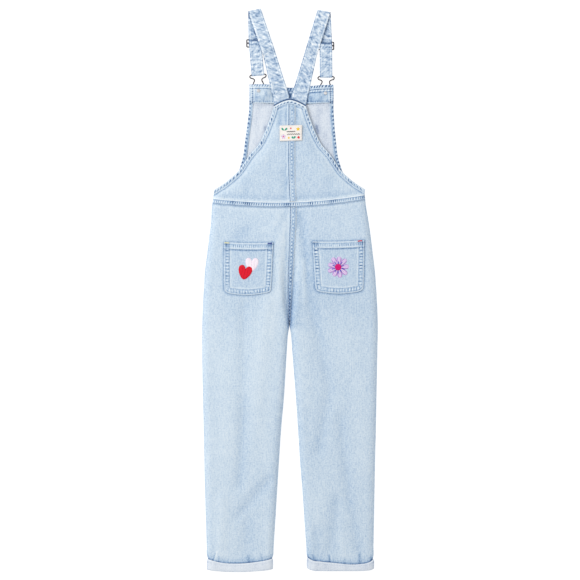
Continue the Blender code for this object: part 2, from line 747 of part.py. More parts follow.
def bib_grid():
    """The x and y of the front bib's points, and the first row of the facing."""
    levels = [FRONT_WAIST_Y + SEAM_GAP / 2, 193.0, 206.0, 214.0, 229.0, 241.0, 256.0, 275.0, 300.0, 325.0, 350.0, 368.0]
    facing = [0.0, 0.3, 0.6, 0.85, 1.0]
    rows_x, rows_y = [], []
    for level in levels + [FACING_DEPTH_Y + (BIB_TOP_Y - FACING_DEPTH_Y) * share for share in facing]:
        left = float(side_x(level, -1.0)) if level < SIDE_TOP_Y else float(along(BIB_EDGE, 1, level))
        right = float(side_x(level, 1.0)) if level < SIDE_TOP_Y else float(along(BIB_EDGE, 2, level))
        x = left + edge_columns(right - left, FRONT_CURL, FRONT_CURL, 12)
        bow = BIB_TOP_BOW * x * x + BIB_TOP_TILT * x
        share = max(0.0, (level - FACING_DEPTH_Y) / (BIB_TOP_Y - FACING_DEPTH_Y))
        rows_x.append(x)
        rows_y.append(level + bow * share)
    return np.array(rows_x), np.array(rows_y), len(levels)


def bib_under(x, y):
    """The underside of the front bib."""
    curl = 1.0 - smooth((y - SIDE_TOP_Y) / 8.0)
    left = np.abs(side_x(y, -1.0) - x)
    right = np.abs(side_x(y, 1.0) - x)
    edge = SEAM_HEIGHT * ((1 - quarter(left, FRONT_CURL)) + (1 - quarter(right, FRONT_CURL)))
    return curl * edge + front_rise(x, y)


def bib():
    """The front bib, face down, and the facing on the inside of its top edge."""
    x, y, facing_row = bib_grid()
    points = np.stack([x, y, bib_under(x, y)], axis=2)
    normal = -upward(surface_normals(points))
    curl = (1.0 - smooth((y[:, 0] - SIDE_TOP_Y) / 8.0)) * math.pi / 2
    normal[:, 0] = np.stack([-np.sin(curl), 0 * curl, -np.cos(curl)], axis=1)
    normal[:, -1] = np.stack([np.sin(curl), 0 * curl, -np.cos(curl)], axis=1)
    inner = points - normal * CLOTH
    wall("front_bib", points, inner, "wrong side")
    top = inner[facing_row:]
    lift_normal = -normal[facing_row:]
    lower = top + lift_normal * SEAM_GAP
    wall("bib_facing", lower + lift_normal * CLOTH, lower, "seam")


def front_hem(name, side):
    """The double-turned hem on the inside of the front armhole and the bib's side."""
    levels = np.array([216.0, 229.0, 241.0, 256.0, 275.0, 300.0, 325.0, 350.0, 368.0, FACING_DEPTH_Y - 2 * SEAM_GAP])
    edge = along(BIB_EDGE, 1 if side < 0 else 2, levels)
    slope = np.abs(np.gradient(edge, levels))
    width = FRONT_HEM_WIDTH * np.sqrt(1 + slope ** 2)
    shares = np.array([0.02, 0.34, 0.67, 1.0])
    x = edge[:, None] - side * width[:, None] * shares[None, :]
    y = np.repeat(levels[:, None], len(shares), axis=1)
    return patch(name, x, y, bib_under(x, y) + CLOTH, FRONT_HEM_CLOTH, "seam", gap=SEAM_GAP + 0.1)


def pocket(name, side_name):
    """A patch pocket with a doubled hem at its mouth."""
    rows = POCKETS[side_name]
    spans = np.array([0.0, 0.12, 0.135, 0.3, 0.5, 0.7, 0.88, 0.95, 1.0])
    at = np.linspace(0.0, 1.0, 4 + 1)
    depth = np.array([rows[0][0] - row[0] for row in rows])
    share = depth / depth[-1]
    x_rows, y_rows, thick = [], [], []
    for span in spans:
        left_y, right_y, left, right = [np.interp(span, share, [row[c] for row in rows]) for c in range(4)]
        across = np.linspace(0.0, 1.0, 9)
        sag = 1.6 * np.sin(math.pi * across) * (1 - span) + 4.0 * np.sin(math.pi * across) * smooth(span * 3 - 2)
        x_rows.append(left + (right - left) * across)
        y_rows.append(left_y + (right_y - left_y) * across - sag)
        thick.append(CLOTH + (POCKET_HEM_EXTRA if span <= 0.12 else 0.0))
    x, y = np.array(x_rows), np.array(y_rows)
    thickness = np.repeat(np.array(thick)[:, None], x.shape[1], axis=1)
    return patch(name, x, y, back_top(x, y), thickness, "denim")


def label(name):
    """A woven label sewn over the centre seam of the bodice."""
    corners = {"left": -21.2, "right": 25.0, "top": 338.6, "foot": 304.6}
    x_line = np.array([corners["left"], -12.0, -8.2, -4.8, 3.9, 12.6, 16.0, 20.0, corners["right"]])
    y_line = np.linspace(corners["top"], corners["foot"], 5)
    x, y = np.meshgrid(x_line, y_line)
    y = y + 0.03 * x
    over = 1.0 - smooth((np.abs(x - 3.9) - 9.2) / 3.0)
    return patch(name, x, y, back_top(x, y) + over * (CLOTH + SEAM_GAP + 0.1), 0.9, "label", gap=SEAM_GAP + 0.1)


def ribbon_rows(side_name):
    """The stations of a strap from under the back, over its fold and the hook, to the slider.

    Each station is the left edge, the right edge and the height of the strap's middle.
    """
    places = {key: np.array(value).reshape(2, 2) for key, value in STRAPS[side_name].items()}
    half = STRAP_CLOTH / 2
    stations = []

    def run(start, end, count, profile, first=0.0, last=1.0):
        for t in np.linspace(first, last, count):
            line = places[start] * (1 - t) + places[end] * t
            stations.append((line[0], line[1], profile(line)))

    def over_front(line):
        heights = []
        for point in (line[0], (line[0] + line[1]) / 2, line[1]):
            on_bib = smooth((BIB_TOP_Y + 16.0 - point[1]) / 8.0)
            on_facing = smooth((point[1] - FACING_DEPTH_Y + 8.0) / 7.0) * (SEAM_GAP + CLOTH)
            heights.append(on_bib * (CLOTH + on_facing + 0.85 + front_rise(*point)) + (1 - on_bib) * 0.3)
        return np.array([heights[0], heights[2]]) + half

    def hump(line):
        level = line[:, 1].mean()
        rise = 5.9 * smooth((level - 452.0) / 30.0) - 2.4 * smooth((level - 520.0) / 36.0)
        return np.maximum(over_front(line), 0.3 + half + rise)

    run("end", "arch", 4, over_front)
    run("arch", "middle", 10, over_front, 0.12, 1.0)
    run("middle", "fold", 8, hump, 0.12, 0.97)
    fold = places["fold"]
    direction = (fold[1] - fold[0]) / np.linalg.norm(fold[1] - fold[0])
    outward = np.array([-direction[1], direction[0]])
    low, high = 0.3 + half, 0.3 + half + 2 * FOLD_RADIUS
    for angle in np.linspace(math.pi / 2, -math.pi / 2, 9):
        shift = outward * (FOLD_RADIUS * math.cos(angle) - FOLD_RADIUS - half)
        height = (low + high) / 2 + FOLD_RADIUS * math.sin(angle)
        stations.append((fold[0] + shift, fold[1] + shift, height))
    slider_z = SLIDER_PLATE + SEAM_GAP + half

    def lower(line):
        level = line[:, 1].mean()
        near = smooth((548.0 - level) / 28.0) - smooth((492.0 - level) / 40.0)
        return low + (slider_z - low) * near

    turn = WIRE_RADIUS + SEAM_GAP + half
    run("fold", "slider", 5, lower, 0.08, 1.0)
    run("slider", "hook", 9, lower, 0.12, 0.94)
    hook = places["hook"]
    for angle in np.linspace(-math.pi / 2, math.pi / 2, 9):
        shift = np.array([0.0, turn + half - turn * math.cos(angle)])
        stations.append((hook[0] + shift, hook[1] + shift, low + turn + turn * math.sin(angle)))

    def upper(line):
        level = line[:, 1].mean()
        bridge = SLIDER_BRIDGE_Z + 1.2 + SEAM_GAP + half
        loop = low + 2 * turn
        near = smooth((level - 475.0) / 18.0)
        return loop * (1 - near) + bridge * near

    run("hook", "slider", 9, upper, 0.08, 1.06)
    return stations


def strap(name, side_name):
    """One strap: a single band, folded over at the top and looped through the hook."""
    stations = ribbon_rows(side_name)
    shares = np.linspace(0.0, 1.0, 3)
    rows = []
    for left, right, height in stations:
        ends = np.broadcast_to(height, (2,))
        row = []
        for s in shares:
            place = left * (1 - s) + right * s
            row.append((place[0], place[1], ends[0] * (1 - s) + ends[1] * s))
        rows.append(row)
    middle = np.array(rows)
    normal = surface_normals(middle)
    offset = normal * STRAP_CLOTH / 2
    return wall(name, middle + offset, middle - offset, "strap")


def tube(name, points, radius, colour, sides=8):
    """A round wire along a closed path."""
    points = np.array(points)
    tangent = np.roll(points, -1, axis=0) - np.roll(points, 1, axis=0)
    tangent /= np.linalg.norm(tangent, axis=1, keepdims=True)
    up = np.array([0.0, 0.0, 1.0])
    across = np.cross(tangent, up)
    across /= np.linalg.norm(across, axis=1, keepdims=True)
    over = np.cross(across, tangent)
    vertices, faces = [], []
    for point, a, b in zip(points, across, over):
        for k in range(sides):
            angle = 2 * math.pi * k / sides
            vertices.append(point + radius * (a * math.cos(angle) + b * math.sin(angle)))
    count = len(points)
    for i in range(count):
        for k in range(sides):
            a, b = i * sides + k, i * sides + (k + 1) % sides
            c, d = ((i + 1) % count) * sides + (k + 1) % sides, ((i + 1) % count) * sides + k
            faces.append((a, b, c, d))
    return new_object(name, vertices, faces, colour, 0.4, 1.0)


def hook(name, side_name):
    """The wire hook: its bar in the strap's loop, its eye round the button's shank."""
    place = np.array(STRAPS[side_name]["hook"]).reshape(2, 2)
    middle = place.mean(axis=0)
    tilt = (place[1, 1] - place[0, 1]) / (place[1, 0] - place[0, 0])
    shank = np.array(BUTTON_CENTRE[side_name])
    bar_y = STRAP_CLOTH + SEAM_GAP + WIRE_RADIUS
    radius = SHANK_RADIUS + SEAM_GAP + WIRE_RADIUS

    def wire(sign):
        points = []
        for dx, dy, z in HOOK_WIRE:
            share = smooth(-dy / 20.0)
            centre = middle[0] * (1 - share) + shank[0] * share
            rise = dy + (bar_y - HOOK_WIRE[0][1] if dy > 0 else 0.0)
            points.append((centre + sign * dx, middle[1] + rise + tilt * sign * dx * (1 - share), z))
        return points

    bottom = []
    for angle in np.linspace(0.1, math.pi - 0.1, 7):
        bottom.append((shank[0] + radius * math.cos(angle), shank[1] - radius * math.sin(angle), 3.9))
    bar = [(middle[0] + dx, middle[1] + bar_y + tilt * dx, 2.7) for dx in (-6.0, 6.0)]
    return tube(name, wire(1.0) + bottom + wire(-1.0)[::-1] + bar, WIRE_RADIUS, "steel")


def turned(name, centre, profile, colour, metallic, sides=20):
    """A round piece from a profile of radius and height, closed at both ends on the axis."""
    vertices, faces = [], []
    for radius, height in profile:
        for k in range(sides):
            angle = 2 * math.pi * k / sides
            place = (centre[0] + radius * math.cos(angle), centre[1] + radius * math.sin(angle), height)
            vertices.append(place)
    for i in range(len(profile) - 1):
        for k in range(sides):
            a, b = i * sides + k, i * sides + (k + 1) % sides
            faces.append((a, b, b + sides, a + sides))
    faces.append(tuple(range(sides)))
    faces.append(tuple(range(len(profile) * sides - 1, (len(profile) - 1) * sides - 1, -1)))
    return new_object(name, vertices, faces, colour, 0.35, metallic)


def button(name, side_name):
    """The shank button under the bib: a head on the surface and a shank up to the cloth."""
    top = BUTTON_RISE - SEAM_GAP
    profile = [(BUTTON_RADIUS - 1.2, 0.0), (BUTTON_RADIUS, 0.7), (BUTTON_RADIUS, 1.5),
               (BUTTON_RADIUS - 1.0, BUTTON_HEAD), (SHANK_RADIUS, BUTTON_HEAD + 0.2), (SHANK_RADIUS, top)]
    return turned(name, BUTTON_CENTRE[side_name], profile, "steel", 1.0)


def tack(name, side_name):
    """The button's tack back, on the facing."""
    base = BUTTON_RISE + 2 * CLOTH + 2 * SEAM_GAP
    profile = [(TACK_RADIUS, base), (TACK_RADIUS, base + 0.5), (TACK_RADIUS - 0.8, base + 1.1),
               (1.2, base + 1.2), (0.6, base + 1.0)]
    return turned(name, BUTTON_CENTRE[side_name], profile, "tack", 1.0, sides=16)


def box(name, centre, size, colour="steel", metallic=1.0):
    """A plain box."""
    cx, cy, cz = centre
    sx, sy, sz = [s / 2 for s in size]
    signs = [(-1, -1), (1, -1), (1, 1), (-1, 1)]
    vertices = [(cx + a * sx, cy + b * sy, cz + c * sz) for c in (-1, 1) for a, b in signs]
    faces = [(0, 1, 2, 3), (4, 5, 6, 7), (0, 1, 5, 4), (1, 2, 6, 5), (2, 3, 7, 6), (3, 0, 4, 7)]
    return new_object(name, vertices, faces, colour, 0.4, metallic)


def combine(target, other, operation):
    """A Boolean on the target, with the other object kept as a hidden helper."""
    modifier = target.modifiers.new(other.name, "BOOLEAN")
    modifier.operation = operation
    modifier.solver = "EXACT"
    modifier.object = other
    other.hide_render = True
    other.display_type = "WIRE"


def slider(name, side_name):
    """The strap's slider: a flat frame under the strap, with a bridge over it that holds the strap's end."""
    x, y = SLIDER_CENTRE[side_name]
    width, length = SLIDER_SIZE
    frame = box(name, (x, y, SLIDER_PLATE / 2), (width, length, SLIDER_PLATE))
    opening = (width - 2 * SLIDER_BAR, length - 2 * SLIDER_BAR, 8.0)
    hole = box(name + "_opening", (x, y, SLIDER_PLATE / 2), opening)
    combine(frame, hole, "DIFFERENCE")
    top = SLIDER_BRIDGE_Z + 1.2
    bridge = box(name + "_bridge", (x, y, (top + 0.4) / 2), (width - 0.4, 3.0, top - 0.4))
    combine(frame, bridge, "UNION")
    under = box(name + "_under", (x, y, SLIDER_BRIDGE_Z / 2 - 1.0), (width - 2 * SLIDER_BAR, 6.0, SLIDER_BRIDGE_Z + 2.0))
    combine(frame, under, "DIFFERENCE")
    return frame


def build():
    """Every piece of the garment, as its own object."""
    for item in list(bpy.data.objects):
        bpy.data.objects.remove(item, do_unlink=True)
    bib()
    for side_name, side in SIDE_SIGN.items():
        front_leg("front_leg_" + side_name, side)
        back_leg("back_leg_" + side_name, side)
        bodice("back_bodice_" + side_name, side)
        armhole_hem("back_armhole_hem_" + side_name, side)
        front_hem("front_armhole_hem_" + side_name, side)
        cuff("cuff_" + side_name, side)
        pocket("pocket_" + side_name, side_name)
        strap("strap_" + side_name, side_name)
        slider("slider_" + side_name, side_name)
        hook("hook_" + side_name, side_name)
        button("button_" + side_name, side_name)
        tack("tack_" + side_name, side_name)
    waist_seam("back_waist_seam")
    top_band("back_top_band", TOP_BAND_STEP, TOP_BAND_DEPTH, TOP_BAND_CLOTH, 0.0, "seam")
    top_band("back_top_facing", 0.0, 9.0, 1.0, TOP_BAND_CLOTH + SEAM_GAP, "seam")
    seat_top = WAIST_Y - WAIST_SEAM_WIDTH / 2 - SEAM_GAP - 0.2
    fell("back_seat_seam", seat_top, -38.0, lambda y: along(CENTRE, 3, y) - 1.5, leg_levels(), "seam")
    fell_top = float(arch_y(3.9)) - TOP_BAND_STEP - TOP_BAND_DEPTH - SEAM_GAP - 0.4
    fell_foot = WAIST_Y + WAIST_SEAM_WIDTH / 2 + SEAM_GAP + 0.4
    levels = np.linspace(fell_top, fell_foot, 12)
    fell("back_centre_seam", fell_top, fell_foot, lambda y: 0 * y + FELL_WIDTH / 2, levels, "seam")
    label("label")


build()
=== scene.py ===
import math

import bpy
import numpy as np
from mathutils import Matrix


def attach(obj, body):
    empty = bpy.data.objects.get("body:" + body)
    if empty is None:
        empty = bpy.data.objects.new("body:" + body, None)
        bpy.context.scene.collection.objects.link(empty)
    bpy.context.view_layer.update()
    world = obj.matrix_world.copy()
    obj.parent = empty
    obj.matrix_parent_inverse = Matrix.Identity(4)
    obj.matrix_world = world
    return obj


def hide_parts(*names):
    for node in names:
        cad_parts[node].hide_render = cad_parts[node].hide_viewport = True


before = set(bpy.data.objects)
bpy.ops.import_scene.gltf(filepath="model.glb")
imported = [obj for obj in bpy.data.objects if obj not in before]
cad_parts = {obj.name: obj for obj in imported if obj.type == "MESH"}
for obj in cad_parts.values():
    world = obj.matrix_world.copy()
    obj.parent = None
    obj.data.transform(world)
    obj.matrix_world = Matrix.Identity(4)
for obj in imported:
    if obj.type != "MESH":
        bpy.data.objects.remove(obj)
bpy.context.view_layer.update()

# The tables and the surfaces of the solids, in millimetres, repeated from the part's source
MM = 0.001
CLOTH, HEM_CLOTH, SEAM_GAP, SEAM_HEIGHT = 1.1, 2.2, 0.3, 3.0
SIDE_REACH, FRONT_CURL = 16.0, 5.0
WAIST_Y, WAIST_TILT, WAIST_BOW, WAIST_FADE, WAIST_SEAM_WIDTH = 175.5, 0.0263, 0.000465, 110.0, 11.5
FRONT_WAIST_Y, CROTCH_Y, SPLIT_START_Y, HEM_Y = 180.0, -74.0, -20.0, -576.0
CUFF_LIFT, CUFF_LIFT_START_Y, CUFF_LIFT_END_Y = 2.6, -518.0, -549.0
SIDE_TOP_Y, HEM_FOOT_Y, SEAM_OPEN_Y = 206.0, 200.5, 195.0
ARMHOLE_HEM_WIDTH, BODICE_REACH, FELL_WIDTH = 9.0, 30.0, 15.0
ARCH_X, ARCH_Y, ARCH_DROP, ARCH_HALF, ARCH_POWER = -0.4, 393.2, 13.4, 33.2, 1.6
TOP_BAND_DEPTH, TOP_BAND_STEP, TOP_BAND_CLOTH = 8.5, 3.6, 1.6
BIB_TOP_Y, FACING_DEPTH_Y = 415.0, 383.5
FRONT_HEM_WIDTH, FRONT_HEM_CLOTH = 8.0, 1.2
BUTTON_RISE, RISE_FLAT, RISE_END = 5.4, 17.0, 42.0
STRAP_CLOTH, FOLD_RADIUS, WIRE_RADIUS = 1.1, 1.6, 1.0
# A strap's run from its hidden end to its fold
STRAP_FOLD = 215.0
# The centre seam's x at its top, and the label's ends, its top and foot, and its lean
SEAM_TOP_X, LABEL_X, LABEL_Y, LABEL_LEAN = 3.9, (-21.2, 24.6), (337.4, 305.6), 0.03
BUTTON_RADIUS, BUTTON_HEAD, SHANK_RADIUS, TACK_RADIUS = 8.5, 2.3, 3.0, 3.6
SLIDER_SIZE, SLIDER_BAR, SLIDER_PLATE, SLIDER_BRIDGE_Z = (35.0, 17.0), 2.2, 1.6, 3.4

# Body and legs. Columns: level y, left side x, right side x, height of the back
BODY = [
    (208.0, -155.2, 152.5, 8.6), (190.0, -157.5, 154.0, 8.8), (172.0, -160.0, 156.0, 9.2),
    (139.0, -162.0, 161.5, 11.0), (107.0, -166.0, 166.0, 12.6), (74.0, -170.0, 170.0, 13.2),
    (41.0, -174.3, 174.0, 13.4), (8.0, -176.4, 176.6, 13.4), (-25.0, -178.4, 178.6, 13.4),
    (-76.0, -180.2, 180.3, 13.2), (-123.0, -180.3, 179.4, 13.0), (-221.0, -178.6, 177.5, 13.0),
    (-287.0, -177.0, 176.2, 12.9), (-353.0, -175.8, 174.6, 12.8), (-418.0, -174.3, 173.4, 12.8),
    (-484.0, -172.2, 172.2, 12.6), (-528.0, -170.8, 171.4, 12.2), (-545.0, -170.2, 171.2, 11.8),
    (-552.0, -167.8, 169.8, 11.6), (-557.0, -167.8, 169.8, 11.6), (-580.0, -167.8, 169.8, 11.6),
]
# Inseams. Columns: level y, left leg x, right leg x
INSEAM = [
    (-74.0, -1.25, -0.85), (-90.0, -4.0, 1.9), (-123.0, -6.4, 4.4), (-221.0, -12.4, 12.2),
    (-287.0, -18.3, 16.6), (-353.0, -22.6, 20.8), (-418.0, -26.7, 26.0), (-484.0, -30.8, 30.4),
    (-528.0, -33.6, 33.6), (-545.0, -34.8, 34.8), (-552.0, -37.5, 37.1), (-557.0, -37.5, 37.1),
    (-580.0, -37.5, 37.1),
]
# Centre back seam. Columns: level y, x, depth of its trough, flat half width, reach of its slopes
CENTRE = [
    (400.0, 3.9, 0.0, 8.4, 30.0), (208.0, 4.6, 0.0, 8.4, 30.0), (172.0, 6.6, 0.6, 8.4, 30.0),
    (139.0, 6.0, 1.4, 8.4, 27.0), (74.0, 3.0, 2.6, 7.8, 21.0), (41.0, 1.5, 4.2, 7.2, 16.0),
    (8.0, 0.0, 6.2, 6.4, 13.0), (-25.0, -0.6, 7.8, 4.8, 12.0), (-50.0, -0.9, 9.0, 2.6, 12.0),
    (-74.0, -1.05, 9.9, 0.0, 14.0), (-100.0, -1.05, 9.9, 0.0, 15.0),
]
# Back armhole edge. Columns: level y, half width from the middle of the back
ARMHOLE = [
    (206.0, 154.6), (214.0, 141.5), (221.0, 131.5), (229.0, 121.6), (245.4, 104.6), (261.0, 94.2),
    (277.8, 83.0), (296.6, 66.4), (321.9, 53.0), (346.5, 43.2), (365.0, 36.6), (376.0, 33.6),
]
# Height of the back bodice. Columns: level y, height in the middle, height of the armhole edge
BODICE = [
    (172.0, 9.2, 5.7), (208.0, 8.6, 5.7), (250.0, 9.2, 5.7), (300.0, 8.8, 5.8),
    (340.0, 8.2, 6.2), (362.0, 8.0, 7.2), (400.0, 8.0, 7.4),
]
# Front edge of the bib and of the front armhole. Columns: level y, left x, right x
BIB_EDGE = [
    (206.0, -154.6, 152.0), (214.0, -136.0, 136.0), (229.0, -117.0, 117.5), (241.0, -107.0, 109.0),
    (256.0, -101.5, 103.5), (270.6, -97.4, 99.2), (303.4, -92.7, 94.8), (336.0, -88.3, 91.6),
    (369.0, -84.2, 89.6), (414.0, -83.0, 89.2), (424.0, -82.8, 89.0),
]
# Largest folds. Columns: start x, y, end x, y, half width, height (a trough is below 0)
FOLDS = [
    (-10.0, 128.0, -26.0, 20.0, 6.0, 0.7), (-47.0, -30.0, -60.0, -150.0, 13.0, 0.9),
    (-60.0, -150.0, -76.0, -330.0, 13.0, 0.7), (-94.0, -30.0, -97.0, -230.0, 10.0, -1.1),
    (-97.0, -250.0, -104.0, -400.0, 10.0, -1.3), (-48.0, -394.0, -106.0, -468.0, 11.0, -1.3),
    (-139.0, -430.0, -141.0, -520.0, 10.0, 0.8), (-90.0, -470.0, -90.0, -530.0, 13.0, -1.0),
    (28.0, 140.0, 34.0, 20.0, 6.0, -1.0), (40.0, -30.0, 58.0, -100.0, 10.0, -1.3),
    (58.0, -100.0, 80.0, -200.0, 11.0, -1.3), (80.0, -200.0, 60.0, -330.0, 11.0, -1.2),
    (104.0, -260.0, 120.0, -430.0, 10.0, -1.1), (100.0, -430.0, 84.0, -530.0, 11.0, -1.0),
    (124.0, -486.0, 140.0, -530.0, 9.0, -0.9),
]
# Pockets. Rows from the mouth to the foot: left end's y, right end's y, left x, right x
POCKETS = {
    "left": [(98.4, 97.4, -135.1, -34.2), (84.0, 83.0, -135.1, -34.4), (40.0, 40.0, -135.3, -36.2),
             (4.6, 1.2, -135.1, -38.3), (-7.6, -6.2, -123.0, -48.0)],
    "right": [(99.8, 102.3, 45.5, 152.5), (86.0, 88.4, 46.2, 152.6), (40.0, 42.0, 49.2, 151.8),
              (4.4, 7.0, 51.7, 150.9), (-4.2, -4.0, 63.0, 138.0)],
}
POCKET_CLEAR, POCKET_HEM_EXTRA = 10.0, 0.8
# Straps. Columns: left edge x, y, right edge x, y
STRAPS = {
    "left": {"fold": (-86.0, 572.4, -60.2, 578.0), "slider": (-84.8, 512.0, -59.6, 512.6),
             "hook": (-78.6, 438.8, -53.0, 440.8), "middle": (-54.4, 479.5, -29.2, 486.0),
             "arch": (-33.6, 387.5, -1.7, 398.9), "end": (-29.5, 366.0, -1.4, 376.0)},
    "right": {"fold": (56.9, 575.6, 83.4, 570.6), "slider": (60.8, 507.0, 86.2, 506.0),
              "hook": (61.4, 436.0, 86.8, 436.0), "middle": (28.9, 483.0, 54.6, 479.5),
              "arch": (2.2, 396.1, 34.6, 387.5), "end": (0.9, 374.0, 29.5, 366.0)},
}
SLIDER_CENTRE = {"left": (-72.4, 506.6), "right": (73.4, 501.4)}
BUTTON_CENTRE = {"left": (-64.8, 408.6), "right": (72.6, 403.6)}
RISE_CENTRE = {"left": (-68.0, 412.0), "right": (76.0, 408.0)}
# One side of a hook's wire. Columns: x from the hook's middle, y from the strap's end, height
HOOK_WIRE = [
    (11.2, 2.6, 2.7), (14.0, 2.4, 2.7), (16.2, 0.9, 2.7), (16.6, -1.4, 2.8), (15.0, -3.8, 2.9),
    (11.4, -5.0, 3.1), (8.4, -6.8, 3.3), (7.6, -9.4, 3.5), (8.6, -12.4, 3.7), (10.2, -16.0, 3.9),
    (9.8, -20.6, 3.9), (7.0, -25.0, 3.9),
]
SIDE_SIGN = {"left": -1.0, "right": 1.0}


def smooth(value):
    """A soft step from 0 to 1."""
    value = np.clip(value, 0.0, 1.0)
    return value * value * (3.0 - 2.0 * value)


def along(rows, column, y):
    """A column of a table at the level y, through a smooth curve."""
    ordered = sorted(rows)
    levels = np.array([row[0] for row in ordered])
    values = np.array([row[column] for row in ordered])
    slopes = np.gradient(values, levels)
    y = np.clip(np.asarray(y, float), levels[0], levels[-1])
    index = np.clip(np.searchsorted(levels, y) - 1, 0, len(levels) - 2)
    span = levels[index + 1] - levels[index]
    t = (y - levels[index]) / span
    start = (1 + 2 * t) * (1 - t) ** 2 * values[index]
    end = t * t * (3 - 2 * t) * values[index + 1]
    leave = t * (1 - t) ** 2 * span * slopes[index]
    arrive = t * t * (t - 1) * span * slopes[index + 1]
    return start + end + leave + arrive


def side_x(y, side):
    """The side seam's x at a level."""
    return along(BODY, 1 if side < 0 else 2, y)


def centre_x(y):
    """The centre back seam's x at a level."""
    return along(CENTRE, 1, y)


def inner_x(y, side):
    """The x of the centre seam above the crotch, and of the inseam below it."""
    seam = centre_x(y) + side * SEAM_GAP / 2
    return np.where(np.asarray(y) > CROTCH_Y, seam, along(INSEAM, 1 if side < 0 else 2, y))


def from_side(x, y, side):
    """The distance across from the side seam."""
    return np.abs(side_x(y, side) - x)


def from_inner(x, y, side):
    """The distance across from the centre seam or the inseam."""
    return np.abs(inner_x(y, side) - x)


def arm_x(y, side):
    """The back armhole edge's x at a level."""
    return side * along(ARMHOLE, 1, y)


def waist_y(x):
    """The level of the back's waist seam."""
    return WAIST_Y + WAIST_TILT * x + WAIST_BOW * x * x


def lift(y):
    """How far the cuff under it raises the front panel."""
    return CUFF_LIFT * smooth((CUFF_LIFT_START_Y - y) / (CUFF_LIFT_START_Y - CUFF_LIFT_END_Y))


def split(y):
    """0 where the two halves are one body, 1 where they are legs."""
    return smooth((SPLIT_START_Y - y) / (SPLIT_START_Y - CROTCH_Y))


def opening(y):
    """0 where the side seam is closed, 1 where front and back part over it."""
    return smooth((np.asarray(y) - SEAM_OPEN_Y) / (HEM_FOOT_Y - SEAM_OPEN_Y))


def quarter(distance, reach):
    """The rise of a rounded edge, from 0 at the edge to 1 at its reach."""
    return np.sqrt(np.clip(1.0 - (1.0 - np.clip(distance / reach, 0.0, 1.0)) ** 2, 0.0, 1.0))


def wave(distance, reach):
    """The rise of a soft slope, from 0 at its foot to 1 at its reach."""
    return 0.5 - 0.5 * np.cos(math.pi * np.clip(distance / reach, 0.0, 1.0))


def seam_height(y):
    """The height of the side seams."""
    return SEAM_HEIGHT + 0.8 * lift(y)


def segment_distance(x, y, x0, y0, x1, y1):
    """The distance of points from a segment."""
    dx, dy = x1 - x0, y1 - y0
    t = np.clip(((x - x0) * dx + (y - y0) * dy) / (dx * dx + dy * dy), 0.0, 1.0)
    return np.hypot(x - x0 - t * dx, y - y0 - t * dy)


def line_distance(x, y, points):
    """The distance of points from a line of several segments."""
    nearest = np.full(np.broadcast(x, y).shape, 1e9)
    for (x0, y0), (x1, y1) in zip(points[:-1], points[1:]):
        nearest = np.minimum(nearest, segment_distance(x, y, x0, y0, x1, y1))
    return nearest


def folds(x, y):
    """The height that the largest folds add to the back, none of it under the pockets."""
    ridge = np.zeros(np.broadcast(x, y).shape)
    trough = np.zeros(np.broadcast(x, y).shape)
    for *stroke, amount in FOLDS:
        form = amount * along_stroke(x, y, *stroke)
        ridge, trough = np.maximum(ridge, form), np.minimum(trough, form)
    height = ridge + trough
    for rows in POCKETS.values():
        left, right = min(row[2] for row in rows), max(row[3] for row in rows)
        top, foot = max(row[1] for row in rows), min(row[0] for row in rows)
        away = np.maximum(np.maximum(left - x, x - right), np.maximum(foot - y, y - top))
        height = height * smooth(away / POCKET_CLEAR - 0.2)
    return height


def leg_top(x, y, side):
    """The outer surface of the back from the waist to the hem, as the solid has it."""
    height = along(BODY, 3, y)
    opened = opening(y)
    edge = seam_height(y) + SEAM_GAP + opened * (along(BODICE, 2, y) - SEAM_HEIGHT - SEAM_GAP)
    outer = from_side(x, y, side)
    inner = from_inner(x, y, side)
    low = seam_height(y) + SEAM_GAP
    trough = np.where(np.asarray(y) > CROTCH_Y, height - along(CENTRE, 2, y), low)
    inner = np.maximum(inner - along(CENTRE, 3, y), 0.0)
    reach = along(CENTRE, 4, y)
    share = split(y)
    rise = (1 - share) * wave(inner, reach) + share * quarter(inner, reach)
    drop = (height - edge) * (1 - quarter(outer, SIDE_REACH)) + (height - trough) * (1 - rise)
    inside = smooth(outer / 24.0) * smooth(inner / 14.0) * smooth((waist_y(x) - y) / 22.0)
    return height - drop + folds(x, y) * inside * (1 - smooth((-y - 530.0) / 18.0))


def bodice_outline(side):
    """Points of the side seam's top and of the armhole edge, as x and y rows."""
    levels = np.concatenate([np.linspace(165.0, SIDE_TOP_Y - 1, 9), np.linspace(SIDE_TOP_Y, 376.0, 40)])
    edge = np.where(levels < SIDE_TOP_Y, side_x(levels, side), arm_x(levels, side))
    return np.stack([edge, levels], axis=1)


def bodice_top(x, y, side):
    """The outer surface of the back bodice, as the solid has it."""
    distance = line_distance(x, y, bodice_outline(side))
    opened = opening(y)
    height = along(BODICE, 1, y)
    edge = (1 - opened) * (SEAM_HEIGHT + SEAM_GAP) + opened * along(BODICE, 2, y)
    reach = SIDE_REACH + opened * (BODICE_REACH - SIDE_REACH)
    rise = (1 - opened) * quarter(distance, reach) + opened * smooth(distance / reach)
    return edge + (height - edge) * rise


def front_rise(x, y):
    """How far the buttons and hooks raise the bib."""
    rise = 0.0
    for middle_x, middle_y in RISE_CENTRE.values():
        radius = np.hypot(x - middle_x, y - middle_y)
        rise = rise + BUTTON_RISE * (1 - smooth((radius - RISE_FLAT) / (RISE_END - RISE_FLAT)))
    return rise


def front_under(x, y, side):
    """The underside of the front panels below the waist."""
    base = lift(y)
    outer = from_side(x, y, side)
    inner = from_inner(x, y, side)
    curl = (seam_height(y) - base) * (1 - quarter(outer, FRONT_CURL))
    fold = (seam_height(y) - base) * split(y) * (1 - quarter(inner, FRONT_CURL))
    return base + curl + fold


